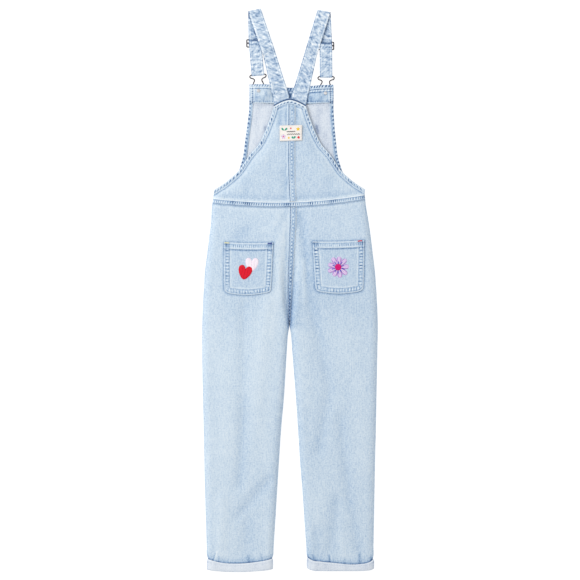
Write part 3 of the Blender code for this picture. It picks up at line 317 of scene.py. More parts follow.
def bib_under(x, y):
    """The underside of the front bib."""
    curl = 1.0 - smooth((y - SIDE_TOP_Y) / 8.0)
    left = np.abs(side_x(y, -1.0) - x)
    right = np.abs(side_x(y, 1.0) - x)
    edge = SEAM_HEIGHT * ((1 - quarter(left, FRONT_CURL)) + (1 - quarter(right, FRONT_CURL)))
    return curl * edge + front_rise(x, y)


def arch_y(x):
    """The top edge of the back between the straps."""
    return ARCH_Y - ARCH_DROP * np.abs((x - ARCH_X) / ARCH_HALF) ** ARCH_POWER


def surface_normals(points):
    """The unit normals of a grid of points."""
    normal = np.cross(np.gradient(points, axis=1), np.gradient(points, axis=0))
    return normal / np.maximum(np.linalg.norm(normal, axis=2, keepdims=True), 1e-9)


def upward(normal):
    """The same normals, all turned so that their sum points up."""
    return normal if normal[:, :, 2].sum() > 0 else -normal


def noise(x, y, cell_x, cell_y, seed):
    """Smooth uneven values from -1 to 1 over cells of a size."""
    grid_x, grid_y = np.broadcast_arrays(np.asarray(x) / cell_x, np.asarray(y) / cell_y)
    low_x, low_y = np.floor(grid_x), np.floor(grid_y)
    part_x, part_y = smooth(grid_x - low_x), smooth(grid_y - low_y)

    def corner(step_x, step_y):
        value = np.sin((low_x + step_x) * 127.1 + (low_y + step_y) * 311.7 + seed * 74.7) * 43758.5453
        return 2.0 * (value - np.floor(value)) - 1.0

    low = corner(0, 0) * (1 - part_x) + corner(1, 0) * part_x
    high = corner(0, 1) * (1 - part_x) + corner(1, 1) * part_x
    return low * (1 - part_y) + high * part_y


def ripple(s, pitch, seed, lean=0.0):
    """Uneven ripples from -1 to 1 along a stitched seam. lean shifts them, in millimetres."""
    s = np.asarray(s) + lean
    drift = 1.9 * noise(s, 0 * s, pitch * 5.0, 1.0, seed) + 1.1 * noise(s, 0 * s, pitch * 2.3, 1.0, seed + 1)
    size = 0.66 + 0.34 * noise(s, 0 * s, pitch * 2.6, 1.0, seed + 2)
    return size * np.sin(2 * math.pi * s / pitch + drift)


def bump(value, middle, half_width):
    """A soft hump of height 1 round a value."""
    return np.exp(-((value - middle) / half_width) ** 2)


def along_stroke(x, y, x0, y0, x1, y1, half_width):
    """A soft hump of height 1 along a segment."""
    return bump(segment_distance(x, y, x0, y0, x1, y1), 0.0, half_width)


def pair(x, y):
    """The x and y of points as one array."""
    return np.stack([x, y], axis=-1)


# Finer creases of the back. Columns: start x, y, end x, y, half width, height, tone. The tone is painted light on the
# ridges and painted shade in the troughs, partly the wash's wear
CREASES = [
    (-20.0, 150.0, -34.0, 40.0, 13.0, 0.9, 0.16), (-34.0, 40.0, -50.0, -60.0, 16.0, 0.8, 0.14),
    (-52.0, -60.0, -70.0, -230.0, 20.0, 0.8, 0.12), (-70.0, -240.0, -64.0, -330.0, 18.0, 0.4, 0.06),
    (-94.0, -30.0, -96.0, -190.0, 12.0, -0.5, -0.07), (-94.0, -225.0, -103.0, -400.0, 12.0, -1.0, -0.17),
    (-40.0, -385.0, -104.0, -458.0, 15.0, -0.8, -0.15), (-84.0, -462.0, -86.0, -540.0, 18.0, -0.7, -0.12),
    (-140.0, -428.0, -142.0, -536.0, 13.0, 0.8, 0.10), (-45.0, -474.0, -46.0, -536.0, 10.0, 0.5, 0.07),
    (-136.0, -150.0, -128.0, -330.0, 20.0, 0.7, 0.08), (-22.0, -240.0, -36.0, -420.0, 9.0, -0.4, -0.10),
    (-150.0, -20.0, -158.0, -120.0, 12.0, 0.4, 0.05), (-104.0, 112.0, -88.0, 128.0, 13.0, -0.5, -0.10),
    (20.0, 156.0, 31.0, 86.0, 7.5, -0.8, -0.26), (31.0, 86.0, 40.0, 0.0, 9.0, -0.7, -0.21),
    (27.5, 61.0, 29.5, -24.0, 3.6, 0.7, 0.20), (40.0, 0.0, 66.0, -110.0, 12.0, -0.7, -0.14),
    (14.8, 123.0, 14.6, 20.0, 3.2, 0.5, 0.18), (-6.5, 163.0, -26.4, 127.0, 6.0, -0.5, -0.20),
    (-26.4, 127.0, -32.5, 97.0, 6.0, -0.5, -0.18), (-31.0, 92.0, -32.0, 6.0, 4.0, -0.4, -0.14),
    (-11.7, 137.0, -17.2, 79.0, 5.5, 0.6, 0.26), (-17.2, 79.0, -26.4, -12.0, 7.5, 0.6, 0.24),
    (-26.4, -12.0, -40.0, -90.0, 10.0, 0.5, 0.18),
    (66.0, -110.0, 82.0, -205.0, 15.0, -0.7, -0.14), (82.0, -205.0, 60.0, -328.0, 14.0, -0.7, -0.13),
    (24.0, -90.0, 34.0, -230.0, 12.0, 0.7, 0.09), (103.0, -266.0, 124.0, -430.0, 12.0, -0.7, -0.13),
    (124.0, -430.0, 144.0, -544.0, 9.0, -0.7, -0.15), (92.0, -430.0, 82.0, -536.0, 12.0, -0.6, -0.12),
    (53.0, -490.0, 54.0, -544.0, 8.0, -0.7, -0.14), (140.0, -180.0, 152.0, -360.0, 16.0, 0.7, 0.09),
    (58.0, -470.0, 70.0, -400.0, 13.0, 0.5, 0.07), (112.0, -60.0, 126.0, -170.0, 17.0, 0.5, 0.05),
    (106.0, -500.0, 110.0, -548.0, 7.0, 0.6, 0.09), (-160.0, -500.0, -156.0, -548.0, 7.0, -0.5, -0.10),
]
# Creases of the bodice, in the same columns, with the same painted light and shade in their tone
BODICE_CREASES = [
    (-19.0, 372.0, -22.0, 340.0, 6.0, -0.5, -0.24), (-9.0, 374.0, -8.0, 348.0, 3.5, -0.3, -0.16),
    (13.5, 374.0, 12.5, 345.0, 3.5, -0.3, -0.18), (22.0, 372.0, 26.0, 352.0, 5.0, 0.4, 0.12),
    (-30.0, 330.0, -52.0, 270.0, 9.0, 0.4, 0.06), (34.0, 330.0, 60.0, 268.0, 10.0, -0.4, -0.06),
    (-12.0, 250.0, -10.0, 196.0, 6.0, -0.5, -0.09), (16.0, 250.0, 15.0, 196.0, 5.0, 0.4, 0.07),
    (-96.0, 196.0, -84.0, 226.0, 10.0, -0.4, -0.08), (88.0, 192.0, 78.0, 222.0, 9.0, -0.4, -0.07),
    (-140.0, 196.0, -118.0, 208.0, 7.0, 0.4, 0.07), (130.0, 196.0, 108.0, 214.0, 8.0, 0.4, 0.06),
]
# Painted light and shade of small puckers just over the cuffs; the cloth has no puckers there. Columns: start x, y,
# end x, y, half width, tone
PUCKER_LIGHT_AND_SHADE = [
    (-154.5, -553.0, -149.5, -536.0, 1.7, 0.55), (-157.5, -553.0, -153.0, -540.0, 1.4, -0.45),
    (-146.0, -556.0, -145.5, -546.0, 1.5, -0.30), (-84.0, -556.0, -86.0, -545.0, 3.0, -0.32),
    (-58.0, -551.0, -60.0, -540.0, 2.2, -0.20), (-70.0, -552.0, -70.5, -540.0, 2.0, 0.16),
    (81.0, -556.0, 80.0, -544.0, 2.2, -0.42), (85.5, -556.0, 85.0, -546.0, 1.6, 0.22),
    (143.0, -558.0, 141.5, -540.0, 2.4, -0.40), (112.0, -559.0, 112.0, -550.0, 2.4, -0.26),
    (50.0, -552.0, 47.0, -543.0, 2.0, -0.36), (166.0, -554.0, 165.0, -546.0, 1.8, -0.36),
]


def creases(x, y, table):
    """The height and the tone that a table of creases adds. The tone is painted light on ridges and painted shade in
    troughs. Creases that meet don't add up.
    """
    flat = 0.0 * (x + y)
    ridge, trough, light, dark = flat, flat, flat, flat
    for *stroke, amount, shade in table:
        form = along_stroke(x, y, *stroke)
        ridge, trough = np.maximum(ridge, amount * form), np.minimum(trough, amount * form)
        light, dark = np.maximum(light, shade * form), np.minimum(dark, shade * form)
    return ridge + trough, light + dark


def inside_leg(x, y, side):
    """0 at a leg panel's edges and 1 well inside it."""
    outer = from_side(x, y, side)
    inner = np.maximum(from_inner(x, y, side) - along(CENTRE, 3, y), 0.0)
    return smooth(outer / 20.0) * smooth(inner / 10.0) * smooth((waist_y(x) - y - 7) / 14.0)


def leg_skin(x, y, side):
    """The outer surface of the back's leg panels with their finer creases."""
    height = creases(x, y, CREASES)[0]
    height = height + 0.30 * noise(x + 0.2 * y, y, 34.0, 90.0, 3) + 0.08 * noise(x, y, 13.0, 40.0, 4)
    return leg_top(x, y, side) + height * inside_leg(x, y, side) * (1 - smooth((-y - 546.0) / 9.0))


def leg_tone(x, y, side):
    """How light the leg panels are, from -1 to 1, with painted light and shade of their creases, seams, cuffs and
    pockets.
    """
    tone = 0.8 * creases(x, y, CREASES)[1] + 0.03 * noise(x, y, 40.0, 110.0, 5)
    # The right leg is painted a little darker below the seat, as shade; the back is also a little darker from the
    # crotch up
    tone = tone - (0.04 if side > 0 else 0.0) * smooth((60.0 - y) / 90.0) - 0.07 * smooth((y + 110.0) / 90.0)
    outer = from_side(x, y, side)
    # Painted shade along the side seams and the inseams, where the cloth rolls under
    tone = tone - 0.16 * bump(outer, 0.0, 3.0)
    inner = from_inner(x, y, side)
    legs = split(y)
    tone = tone - 0.12 * legs * bump(inner, 0.0, 4.5)
    # Beside the seat seam: painted light and shade lines on its left, painted shade on its right
    seat = smooth((y + 150.0) / 60.0) * (1 - legs)
    fell = np.abs(x - centre_x(y))
    half = along(CENTRE, 3, y) - 1.5
    left = seat * (x < centre_x(y))
    tone = tone + left * (0.2 * bump(fell, half + 1.6, 1.2) - 0.18 * bump(fell, half + 4.2, 1.2))
    tone = tone - (seat - left) * 0.14 * bump(fell, half + 2.0, 1.6)
    # Painted shade in the valley down the seat seam to the crotch, and beside it
    crotch_shade = smooth((60.0 - y) / 80.0) * smooth((y + 84.0) / 14.0)
    tone = tone - 0.60 * crotch_shade * bump(x, centre_x(y), 6.0) - 0.10 * crotch_shade * bump(x, 12.0, 9.0)
    # Painted shade just under the waist seam, with painted light a little lower
    waist = waist_y(x) - y
    tone = tone - 0.26 * bump(waist, 6.6, 1.7) + 0.10 * bump(waist, 11.0, 3.0)
    # Painted shadow along the cuffs' upper edges, and painted shade over them
    cuff_top = cuff_edges(x, side)[0]
    tone = tone - 0.74 * bump(y - cuff_top, 0.0, 2.4) - 0.18 * bump(y - cuff_top, 5.0, 5.5)
    # Painted light and shade of the small puckers over the cuffs
    for *stroke, amount in PUCKER_LIGHT_AND_SHADE:
        tone = tone + amount * along_stroke(x, y, *stroke)
    # Painted shade round the pockets' edges, and painted shade above the left pocket's mouth
    outline = pocket_outline("left" if side < 0 else "right")
    tone = tone - 0.40 * bump(line_distance(x, y, outline), 0.0, 2.6)
    over_mouth = np.hypot(x - outline[0, 0] - 35.0, y - outline[0, 1] - 14.0)
    return tone - 0.10 * bump(over_mouth, 0.0, 20.0) * (side < 0)


def bodice_skin(x, y, side):
    """The outer surface of the back bodice with its finer creases."""
    height = creases(x, y, BODICE_CREASES)[0] + 0.25 * noise(x, y, 30.0, 60.0, 8)
    edge = line_distance(x, y, bodice_outline(side))
    fade = smooth((edge - 8.0) / 8.0) * smooth((y - waist_y(x) - 6.0) / 8.0)
    fade = fade * smooth((np.abs(x - centre_x(y)) - 6.0) / 5.0)
    return bodice_top(x, y, side) + height * fade


def bodice_tone(x, y, side):
    """How light the bodice is, from -1 to 1, with painted light and shade of its creases and seams."""
    tone = creases(x, y, BODICE_CREASES)[1] + 0.04 * noise(x, y, 35.0, 70.0, 9) - 0.07
    # Painted shade beside the armhole hem's inner edge, and painted light a little further in
    edge = line_distance(x, y, armhole_lines(side)[1])
    tone = tone - 0.34 * bump(edge, 0.6, 1.5) + 0.12 * bump(edge, 4.5, 2.2)
    # Beside the centre seam: painted light and shade lines on its left, painted shade on its right
    fell = np.abs(x - centre_x(y))
    left = x < centre_x(y)
    half = FELL_WIDTH / 2
    tone = tone + left * (0.30 * bump(fell, half + 1.4, 1.2) - 0.22 * bump(fell, half + 4.0, 1.2))
    tone = tone - ~left * 0.12 * bump(fell, half + 2.0, 1.5)
    # A painted light line just above the waist seam, with painted shade above it
    waist = y - waist_y(x)
    tone = tone + 0.26 * bump(waist, 7.2, 1.6) - 0.12 * bump(waist, 14.0, 6.0)
    # Painted shade just under the top band, with a painted light line below it
    band = arch_y(x) - TOP_BAND_STEP - TOP_BAND_DEPTH - y
    return tone - 0.45 * bump(band, 1.2, 1.6) + 0.3 * bump(band, 4.5, 1.6)


def skin(x, y):
    """The outer surface of the whole back, for what lies on it."""
    side = np.where(np.asarray(x) < centre_x(y), -1.0, 1.0)
    leg = np.where(side < 0, leg_skin(x, y, -1.0), leg_skin(x, y, 1.0))
    bodice = np.where(side < 0, bodice_skin(x, y, -1.0), bodice_skin(x, y, 1.0))
    return np.where(np.asarray(y) < waist_y(np.asarray(x)), leg, bodice)


# Materials. Each ramp is a row of places and colours, from the deepest blue, which carries painted shade in creases,
# seams and gaps, to worn white, which also carries painted highlights
DENIM = [(0.0, (62, 90, 132)), (0.13, (108, 138, 176)), (0.3, (158, 183, 210)), (0.5, (200, 216, 230)),
         (0.72, (224, 234, 241)), (1.0, (247, 249, 251))]
STRAP = [(0.0, (92, 118, 154)), (0.16, (138, 163, 194)), (0.34, (166, 187, 211)), (0.52, (190, 206, 223)),
         (0.76, (214, 226, 237)), (1.0, (244, 247, 250))]
INSIDE = [(0.0, (118, 134, 164)), (0.25, (174, 187, 207)), (0.5, (214, 222, 232)), (0.75, (230, 235, 241)),
          (1.0, (248, 249, 251))]
# The twill's diagonal lines, in radians to a metre across and along the cloth
TWILL_LINES = (6600.0, 4400.0, 0.0)


def linear(channel):
    """One sRGB channel of 0 to 255 as a linear value."""
    value = channel / 255.0
    return value / 12.92 if value <= 0.04045 else ((value + 0.055) / 1.055) ** 2.4


def colour(rgb):
    """A colour of 0 to 255 as linear values with alpha."""
    return (*[linear(c) for c in rgb], 1.0)


class Nodes:
    """A material's node tree, with a short way to add and join nodes."""

    def __init__(self, name):
        self.material = bpy.data.materials.new(name)
        self.material.use_nodes = True
        self.tree = self.material.node_tree
        self.shader = self.tree.nodes["Principled BSDF"]

    def add(self, kind, settings=(), **inputs):
        node = self.tree.nodes.new(kind)
        for key, value in dict(settings).items():
            setattr(node, key, value)
        for key, value in inputs.items():
            socket = node.inputs[int(key[1:])] if key[0] == "_" else node.inputs[key.replace("_", " ")]
            self.put(socket, value)
        return node

    def put(self, socket, value):
        if isinstance(value, bpy.types.NodeSocket):
            self.tree.links.new(value, socket)
        elif isinstance(value, bpy.types.Node):
            self.tree.links.new(value.outputs[0], socket)
        else:
            socket.default_value = value

    def math(self, operation, first, second=0.0, third=0.0):
        return self.add("ShaderNodeMath", {"operation": operation}, _0=first, _1=second, _2=third)

    def dot(self, first, second):
        settings = {"operation": "DOT_PRODUCT"}
        return self.add("ShaderNodeVectorMath", settings, _0=first, _1=second).outputs["Value"]

    def finish(self, **inputs):
        for key, value in inputs.items():
            self.put(self.shader.inputs[key.replace("_", " ")], value)

    def cells(self, vector, size_x, size_y, detail=1.0, rough=0.5, twist=0.0, turn=0.0):
        """Noise of about 0 to 1 with cells of that size in millimetres, on the cloth's own coordinates."""
        place = self.add("ShaderNodeMapping", Vector=vector, Rotation=(0.0, 0.0, turn))
        place = self.add("ShaderNodeMapping", Vector=place, Scale=(1 / (size_x * MM), 1 / (size_y * MM), 1.0))
        return self.add("ShaderNodeTexNoise", {"noise_dimensions": "2D"}, Vector=place, Scale=1.0,
                        Detail=detail, Roughness=rough, Distortion=twist)


def ramp(nodes, value, stops):
    """A colour ramp through the stops."""
    node = nodes.add("ShaderNodeValToRGB", Fac=value)
    band = node.color_ramp
    while len(band.elements) < len(stops):
        band.elements.new(0.5)
    for element, (place, rgb) in zip(band.elements, stops):
        element.position = place
        element.color = colour(rgb)
    return node


def cloth_material(name, stops, mottle=0.03, slub=0.10, weft=0.07, marble=0.0, base=0.5, twill=0.05):
    """Washed twill: mottled by its wash, streaked along the warp, with a fine diagonal weave."""
    nodes = Nodes(name)
    place = nodes.add("ShaderNodeUVMap", {"uv_map": "cloth"})
    # The tone attribute brings in painted light and shade of folds, seams and edges, together with lighter and darker
    # parts of the wash
    tone = nodes.add("ShaderNodeAttribute", {"attribute_name": "tone"})
    level = nodes.math("MULTIPLY_ADD", tone.outputs["Fac"], 0.5, base)
    parts = [
        (nodes.cells(place, 12.0, 30.0, 1.0, 0.5), mottle),
        (nodes.cells(place, 2.4, 13.0, 1.0, 0.6), slub),
        (nodes.cells(place, 5.5, 2.3, 1.0, 0.6), weft),
        (nodes.cells(place, 2.6, 3.2, 0.0, 0.5), slub * 0.8),
    ]
    if marble:
        parts.append((nodes.cells(place, 9.0, 5.0, 0.5, 0.5, 0.6, 0.10), marble * 0.9))
        parts.append((nodes.cells(place, 13.0, 3.8, 0.5, 0.5, 0.4, 0.75), marble * 0.7))
    for node, amount in parts:
        centred = nodes.math("SUBTRACT", node.outputs["Fac"], 0.5)
        level = nodes.math("MULTIPLY_ADD", centred, amount * 2.0, level)
    weave = nodes.math("SINE", nodes.dot(place, TWILL_LINES))
    fine = nodes.cells(place, 0.7, 2.4, 1.0, 0.5)
    level = nodes.math("MULTIPLY_ADD", weave, twill, level)
    nodes.finish(Base_Color=ramp(nodes, level, stops))
    relief = nodes.math("MULTIPLY_ADD", fine.outputs["Fac"], 1.4, weave)
    relief = nodes.math("MULTIPLY_ADD", parts[1][0].outputs["Fac"], 1.6, relief)
    height = nodes.add("ShaderNodeBump", Strength=0.35, Distance=0.00012, Height=relief)
    nodes.finish(Normal=height, Roughness=0.92, Specular_IOR_Level=0.18, Sheen_Weight=0.12, Sheen_Roughness=0.5)
    return nodes.material


def thread_material(name, rgb, dark, roughness, lines=2600.0, turn=0.0, light=None):
    """Embroidery thread: fine parallel lines with a satin gloss."""
    nodes = Nodes(name)
    place = nodes.add("ShaderNodeUVMap", {"uv_map": "cloth"})
    along_line = (lines * math.cos(turn), lines * math.sin(turn), 0.0)
    turned = nodes.dot(place, along_line)
    wobble = nodes.cells(place, 2.2, 2.2, 2.0, 0.6)
    phase = nodes.math("MULTIPLY_ADD", wobble.outputs["Fac"], 5.0, turned)
    line = nodes.math("SINE", phase)
    tone = nodes.add("ShaderNodeAttribute", {"attribute_name": "tone"})
    level = nodes.math("MULTIPLY_ADD", line, 0.16, 0.55)
    level = nodes.math("ADD", level, tone.outputs["Fac"])
    nodes.finish(Base_Color=ramp(nodes, level, [(0.1, dark), (0.6, rgb), (0.95, light or rgb)]))
    height = nodes.add("ShaderNodeBump", Strength=0.6, Distance=0.0002, Height=line)
    nodes.finish(Normal=height, Roughness=roughness, Specular_IOR_Level=0.2, Sheen_Weight=0.04)
    return nodes.material


def metal_material(name, rgb, roughness):
    """Plated steel with a faint uneven polish."""
    nodes = Nodes(name)
    place = nodes.add("ShaderNodeTexCoord")
    worn = nodes.add("ShaderNodeTexNoise", Vector=place.outputs["Object"], Scale=900.0, Detail=3.0)
    darker = tuple(int(c * 0.72) for c in rgb)
    polish = ramp(nodes, worn.outputs["Fac"], [(0.3, darker), (0.65, rgb)])
    rough = nodes.add("ShaderNodeMapRange", Value=worn.outputs["Fac"], To_Min=roughness - 0.08,
                      To_Max=roughness + 0.12)
    nodes.finish(Base_Color=polish, Roughness=rough, Metallic=1.0)
    return nodes.material


def mesh_object(name, vertices, faces, materials, uv, tone, kinds=None):
    """One smooth mesh object from points in millimetres."""
    mesh = bpy.data.meshes.new(name)
    vertices = np.asarray(vertices, float)
    mesh.from_pydata((vertices * MM).tolist(), [], [list(map(int, f)) for f in faces])
    for item in materials:
        mesh.materials.append(item)
    corners = np.zeros(len(mesh.loops), np.int32)
    mesh.loops.foreach_get("vertex_index", corners)
    layer = mesh.uv_layers.new(name="cloth")
    layer.data.foreach_set("uv", np.asarray(uv, np.float32)[corners].ravel())
    shade = mesh.attributes.new("tone", "FLOAT", "POINT")
    shade.data.foreach_set("value", np.asarray(tone, np.float32).ravel())
    mesh.polygons.foreach_set("use_smooth", np.ones(len(mesh.polygons), bool))
    if kinds is not None:
        mesh.polygons.foreach_set("material_index", np.asarray(kinds, np.int32))
    mesh.update()
    result = bpy.data.objects.new(name, mesh)
    bpy.context.collection.objects.link(result)
    return result


def plain_object(name, vertices, faces, material):
    """A mesh object of one finish and an even tone."""
    vertices = np.asarray(vertices)
    return mesh_object(name, vertices, faces, [material], vertices[:, :2] * MM, np.zeros(len(vertices)))


def ring_faces(rows, sides, closed=False):
    """The faces between rings of points. closed joins the last ring to the first."""
    ring, corner = np.divmod(np.arange((rows if closed else rows - 1) * sides), sides)
    after, beside = (ring + 1) % rows, (corner + 1) % sides
    corners = [ring * sides + corner, ring * sides + beside, after * sides + beside, after * sides + corner]
    return np.stack(corners, axis=1).tolist()


def soften(piece, width):
    """A small bevel on a metal piece's sharp edges."""
    edges = piece.modifiers.new("edges", "BEVEL")
    edges.width, edges.segments, edges.limit_method = width, 2, "ANGLE"


def area_of(points):
    """The area of a grid of points in square metres."""
    a, b = points[1:, :-1] - points[:-1, :-1], points[:-1, 1:] - points[:-1, :-1]
    c, d = points[:-1, 1:] - points[1:, 1:], points[1:, :-1] - points[1:, 1:]
    both = np.linalg.norm(np.cross(a, b), axis=2) + np.linalg.norm(np.cross(c, d), axis=2)
    return float(both.sum()) / 2 * MM * MM


# Cuts of cloth: the sides, in metres, of the box that each kind of piece is cut from
CUTS = {
    "front_bib": (0.36, 0.26), "bib_facing": (0.175, 0.05), "front_leg": (0.20, 0.80), "back_leg": (0.20, 0.80),
    "back_bodice": (0.17, 0.21), "back_armhole_hem": (0.012, 0.26), "front_armhole_hem": (0.012, 0.21),
    "cuff": (0.30, 0.024), "pocket": (0.12, 0.14), "back_waist_seam": (0.0125, 0.31),
    "back_top_band": (0.012, 0.08), "back_top_facing": (0.012, 0.08), "back_centre_seam": (0.022, 0.21),
    "back_seat_seam": (0.022, 0.25), "label": (0.047, 0.035),
}
STRAP_CUT_WIDTH = 0.0265


def dress(piece, slot, node=None, area=None, cut=None):
    """The piece rides on the garment and hides the node that it stands for. slot is not used, and the cut looked up
    for an area is not used further.
    """
    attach(piece, "root")
    if node:
        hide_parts(node)
    if area:
        cut = cut or CUTS[node.removesuffix("_left").removesuffix("_right")]


def wall(name, outer, inner, materials, uv, tone, closed=False):
    """The closed solid between two grids of points. closed joins each row's end to its start."""
    rows, columns = outer.shape[:2]
    size = rows * columns
    index = np.arange(size).reshape(rows, columns)
    if closed:
        index = np.concatenate([index, index[:, :1]], axis=1)
    a, b, c, d = index[:-1, :-1], index[:-1, 1:], index[1:, 1:], index[1:, :-1]
    top = np.stack([a, b, c, d], axis=-1).reshape(-1, 4)
    flat = outer.reshape(-1, 3)
    normal = np.cross(flat[top[:, 1]] - flat[top[:, 0]], flat[top[:, 3]] - flat[top[:, 0]])
    turned = (normal * (flat - inner.reshape(-1, 3))[top[:, 0]]).sum() < 0
    lines = [index[0], index[-1][::-1]]
    if not closed:
        edge = np.concatenate([index[0], index[1:, -1], index[-1, -2::-1], index[-2:0:-1, 0], index[:1, 0]])
        lines = [edge]
    rim = []
    for line in lines:
        rim += [(q, p, p + size, q + size) for p, q in zip(line[:-1], line[1:])]
    rim = np.array(rim)
    if turned:
        top, rim = top[:, ::-1], rim[:, ::-1]
    faces = np.concatenate([top, top[:, ::-1] + size, rim])
    kinds = np.concatenate([np.zeros(len(top)), np.full(len(top), len(materials) - 1), np.zeros(len(rim))])
    uv = np.asarray(uv).reshape(-1, 2) * MM
    points = np.concatenate([flat, inner.reshape(-1, 3)])
    tone = np.asarray(tone).ravel()
    shade = np.concatenate([tone, tone if len(materials) == 1 else 0 * tone])
    return mesh_object(name, points, faces, materials, np.concatenate([uv, uv]), shade, kinds)


def spread_columns(total, reach_outer, reach_inner, middle, close):
    """Distances from the outer edge across a panel, closer together at its rounded edges."""
    turn = 1 - np.cos(np.linspace(0.0, math.pi / 2, close))
    between = np.linspace(reach_outer, total - reach_inner, middle)[1:-1]
    return np.concatenate([reach_outer * turn, between, total - reach_inner * turn[::-1]])


def leg_grid(side, step, waist, reach_outer, reach_inner, middle, close):
    """The x and y of a leg panel's points."""
    levels = np.concatenate([[WAIST_Y], np.arange(WAIST_Y - 4.0, HEM_Y + 1.0, -step), [HEM_Y]])
    grid_x, grid_y = [], []
    for row, level in enumerate(levels):
        outer, inner = float(side_x(level, side)), float(inner_x(level, side))
        columns = spread_columns(abs(outer - inner), reach_outer, reach_inner(level), middle, close)
        x = outer - side * columns
        fade = 1.0 - smooth((WAIST_Y - level) / WAIST_FADE)
        y = level + (waist(x) - WAIST_Y) * fade - (SEAM_GAP if row == 0 else 0.0)
        move = side_x(y, side) - outer
        grid_x.append(x + move * (1.0 - smooth(columns / (reach_outer * 3))))
        grid_y.append(y)
    return np.array(grid_x), np.array(grid_y)


def back_leg(side_name, side):
    """The back panel of one leg."""
    def reach_inner(y):
        return float(along(CENTRE, 3, y) + along(CENTRE, 4, y))

    x, y = leg_grid(side, 2.6, waist_y, SIDE_REACH, reach_inner, 52, 10)
    y = np.maximum(y, cuff_edges(x, side)[1] + 2.5)
    points = np.stack([x, y, leg_skin(x, y, side)], axis=2)
    normal = upward(surface_normals(points))
    opened = opening(y[:, 0]) * math.pi / 2
    normal[:, 0] = np.stack([side * np.cos(opened), 0 * opened, np.sin(opened)], axis=1)
    turn = split(y[:, -1]) * math.pi / 2
    normal[:, -1] = np.stack([-side * np.sin(turn), 0 * turn, np.cos(turn)], axis=1)
    name = "back_leg_shell_" + side_name
    piece = wall(name, points, points - normal * CLOTH, [denim, inside], pair(x, y), leg_tone(x, y, side))
    dress(piece, "denim", "back_leg_" + side_name, area_of(points))


def front_leg(side_name, side):
    """The front panel of one leg, flat on the surface."""
    x, y = leg_grid(side, 7.0, lambda x: FRONT_WAIST_Y + 0 * x, FRONT_CURL, lambda level: FRONT_CURL, 26, 6)
    y = np.maximum(y, cuff_edges(x, side)[1] + 2.5)
    points = np.stack([x, y, front_under(x, y, side)], axis=2)
    normal = -upward(surface_normals(points))
    normal[:, 0] = (side, 0.0, 0.0)
    turn = split(y[:, -1]) * math.pi / 2
    normal[:, -1] = np.stack([-side * np.sin(turn), 0 * turn, -np.cos(turn)], axis=1)
    tone = 0.05 * noise(x, y, 40.0, 110.0, 11) + 0.04 * noise(x, y, 11.0, 26.0, 12)
    for place, middle, amount in ((side * 90.0, 30.0, -0.10), (side * 60.0, 22.0, 0.12), (side * 125.0, 18.0, 0.08)):
        tone = tone + amount * bump(x + 0.05 * y, place, middle)
    name = "front_leg_shell_" + side_name
    piece = wall(name, points, points - normal * CLOTH, [denim, inside], pair(x, y), tone)
    dress(piece, "denim", "front_leg_" + side_name, area_of(points))


def armhole_lines(side):
    """The outer and inner edges of the back armhole hem, as two rows of x, y points."""
    levels = np.concatenate([np.linspace(SIDE_TOP_Y, 245.0, 14), np.linspace(250.0, 376.0, 40)])
    outer = np.stack([arm_x(levels, side), levels], axis=1)
    tangent = np.gradient(outer, axis=0)
    tangent /= np.linalg.norm(tangent, axis=1, keepdims=True)
    inward = np.stack([-side * tangent[:, 1], side * tangent[:, 0]], axis=1)
    inner = outer + inward * ARMHOLE_HEM_WIDTH
    corner = [(side_x(SIDE_TOP_Y - 1.4, side), SIDE_TOP_Y - 1.4)]
    return np.concatenate([corner, outer]), np.concatenate([[(side_x(194.6, side), 194.6)], inner])


def bodice(side_name, side):
    """One half of the back bodice."""
    outer_line = armhole_lines(side)[0]
    shares = np.linspace(0.0, 1.0, 56) ** 0.9
    shares = 1 - (1 - shares) ** 1.15
    spans = np.concatenate([np.linspace(0.0, 0.3, 34)[:-1], np.linspace(0.3, 1.0, 52)])
    band = TOP_BAND_STEP + 2.4
    top_x = float(centre_x(ARCH_Y)) * (1 - shares) + (ARCH_X + side * ARCH_HALF) * shares
    top = arch_y(top_x) - band
    rows_x, rows_y = [], []
    for span in spans:
        y = WAIST_Y + span * (top - WAIST_Y)
        for _ in range(12):
            away = np.interp(y[-1], outer_line[:, 1], outer_line[:, 0]) - side * 2.4
            edge = float(side_x(y[-1], side)) if y[-1] <= HEM_FOOT_Y else away
            centre = centre_x(y) + side * SEAM_GAP / 2
            x = centre + (edge - centre) * shares
            foot = waist_y(x) + SEAM_GAP
            y = foot + span * (top - foot)
        rows_x.append(x)
        rows_y.append(y)
    x, y = np.array(rows_x), np.array(rows_y)
    points = np.stack([x, y, bodice_skin(x, y, side)], axis=2)
    normal = upward(surface_normals(points))
    opened = opening(y[:, -1]) * math.pi / 2
    normal[:, -1] = np.stack([side * np.cos(opened), 0 * opened, np.sin(opened)], axis=1)
    normal[:, 0] = (0.0, 0.0, 1.0)
    name = "back_bodice_shell_" + side_name
    tone = bodice_tone(x, y, side)
    piece = wall(name, points, points - normal * CLOTH, [denim, inside], pair(x, y), tone)
    dress(piece, "denim", "back_bodice_" + side_name, area_of(points))


def run_along(points):
    """How far along their line each of the points is."""
    return np.concatenate([[0.0], np.cumsum(np.linalg.norm(np.diff(points, axis=0), axis=1))])


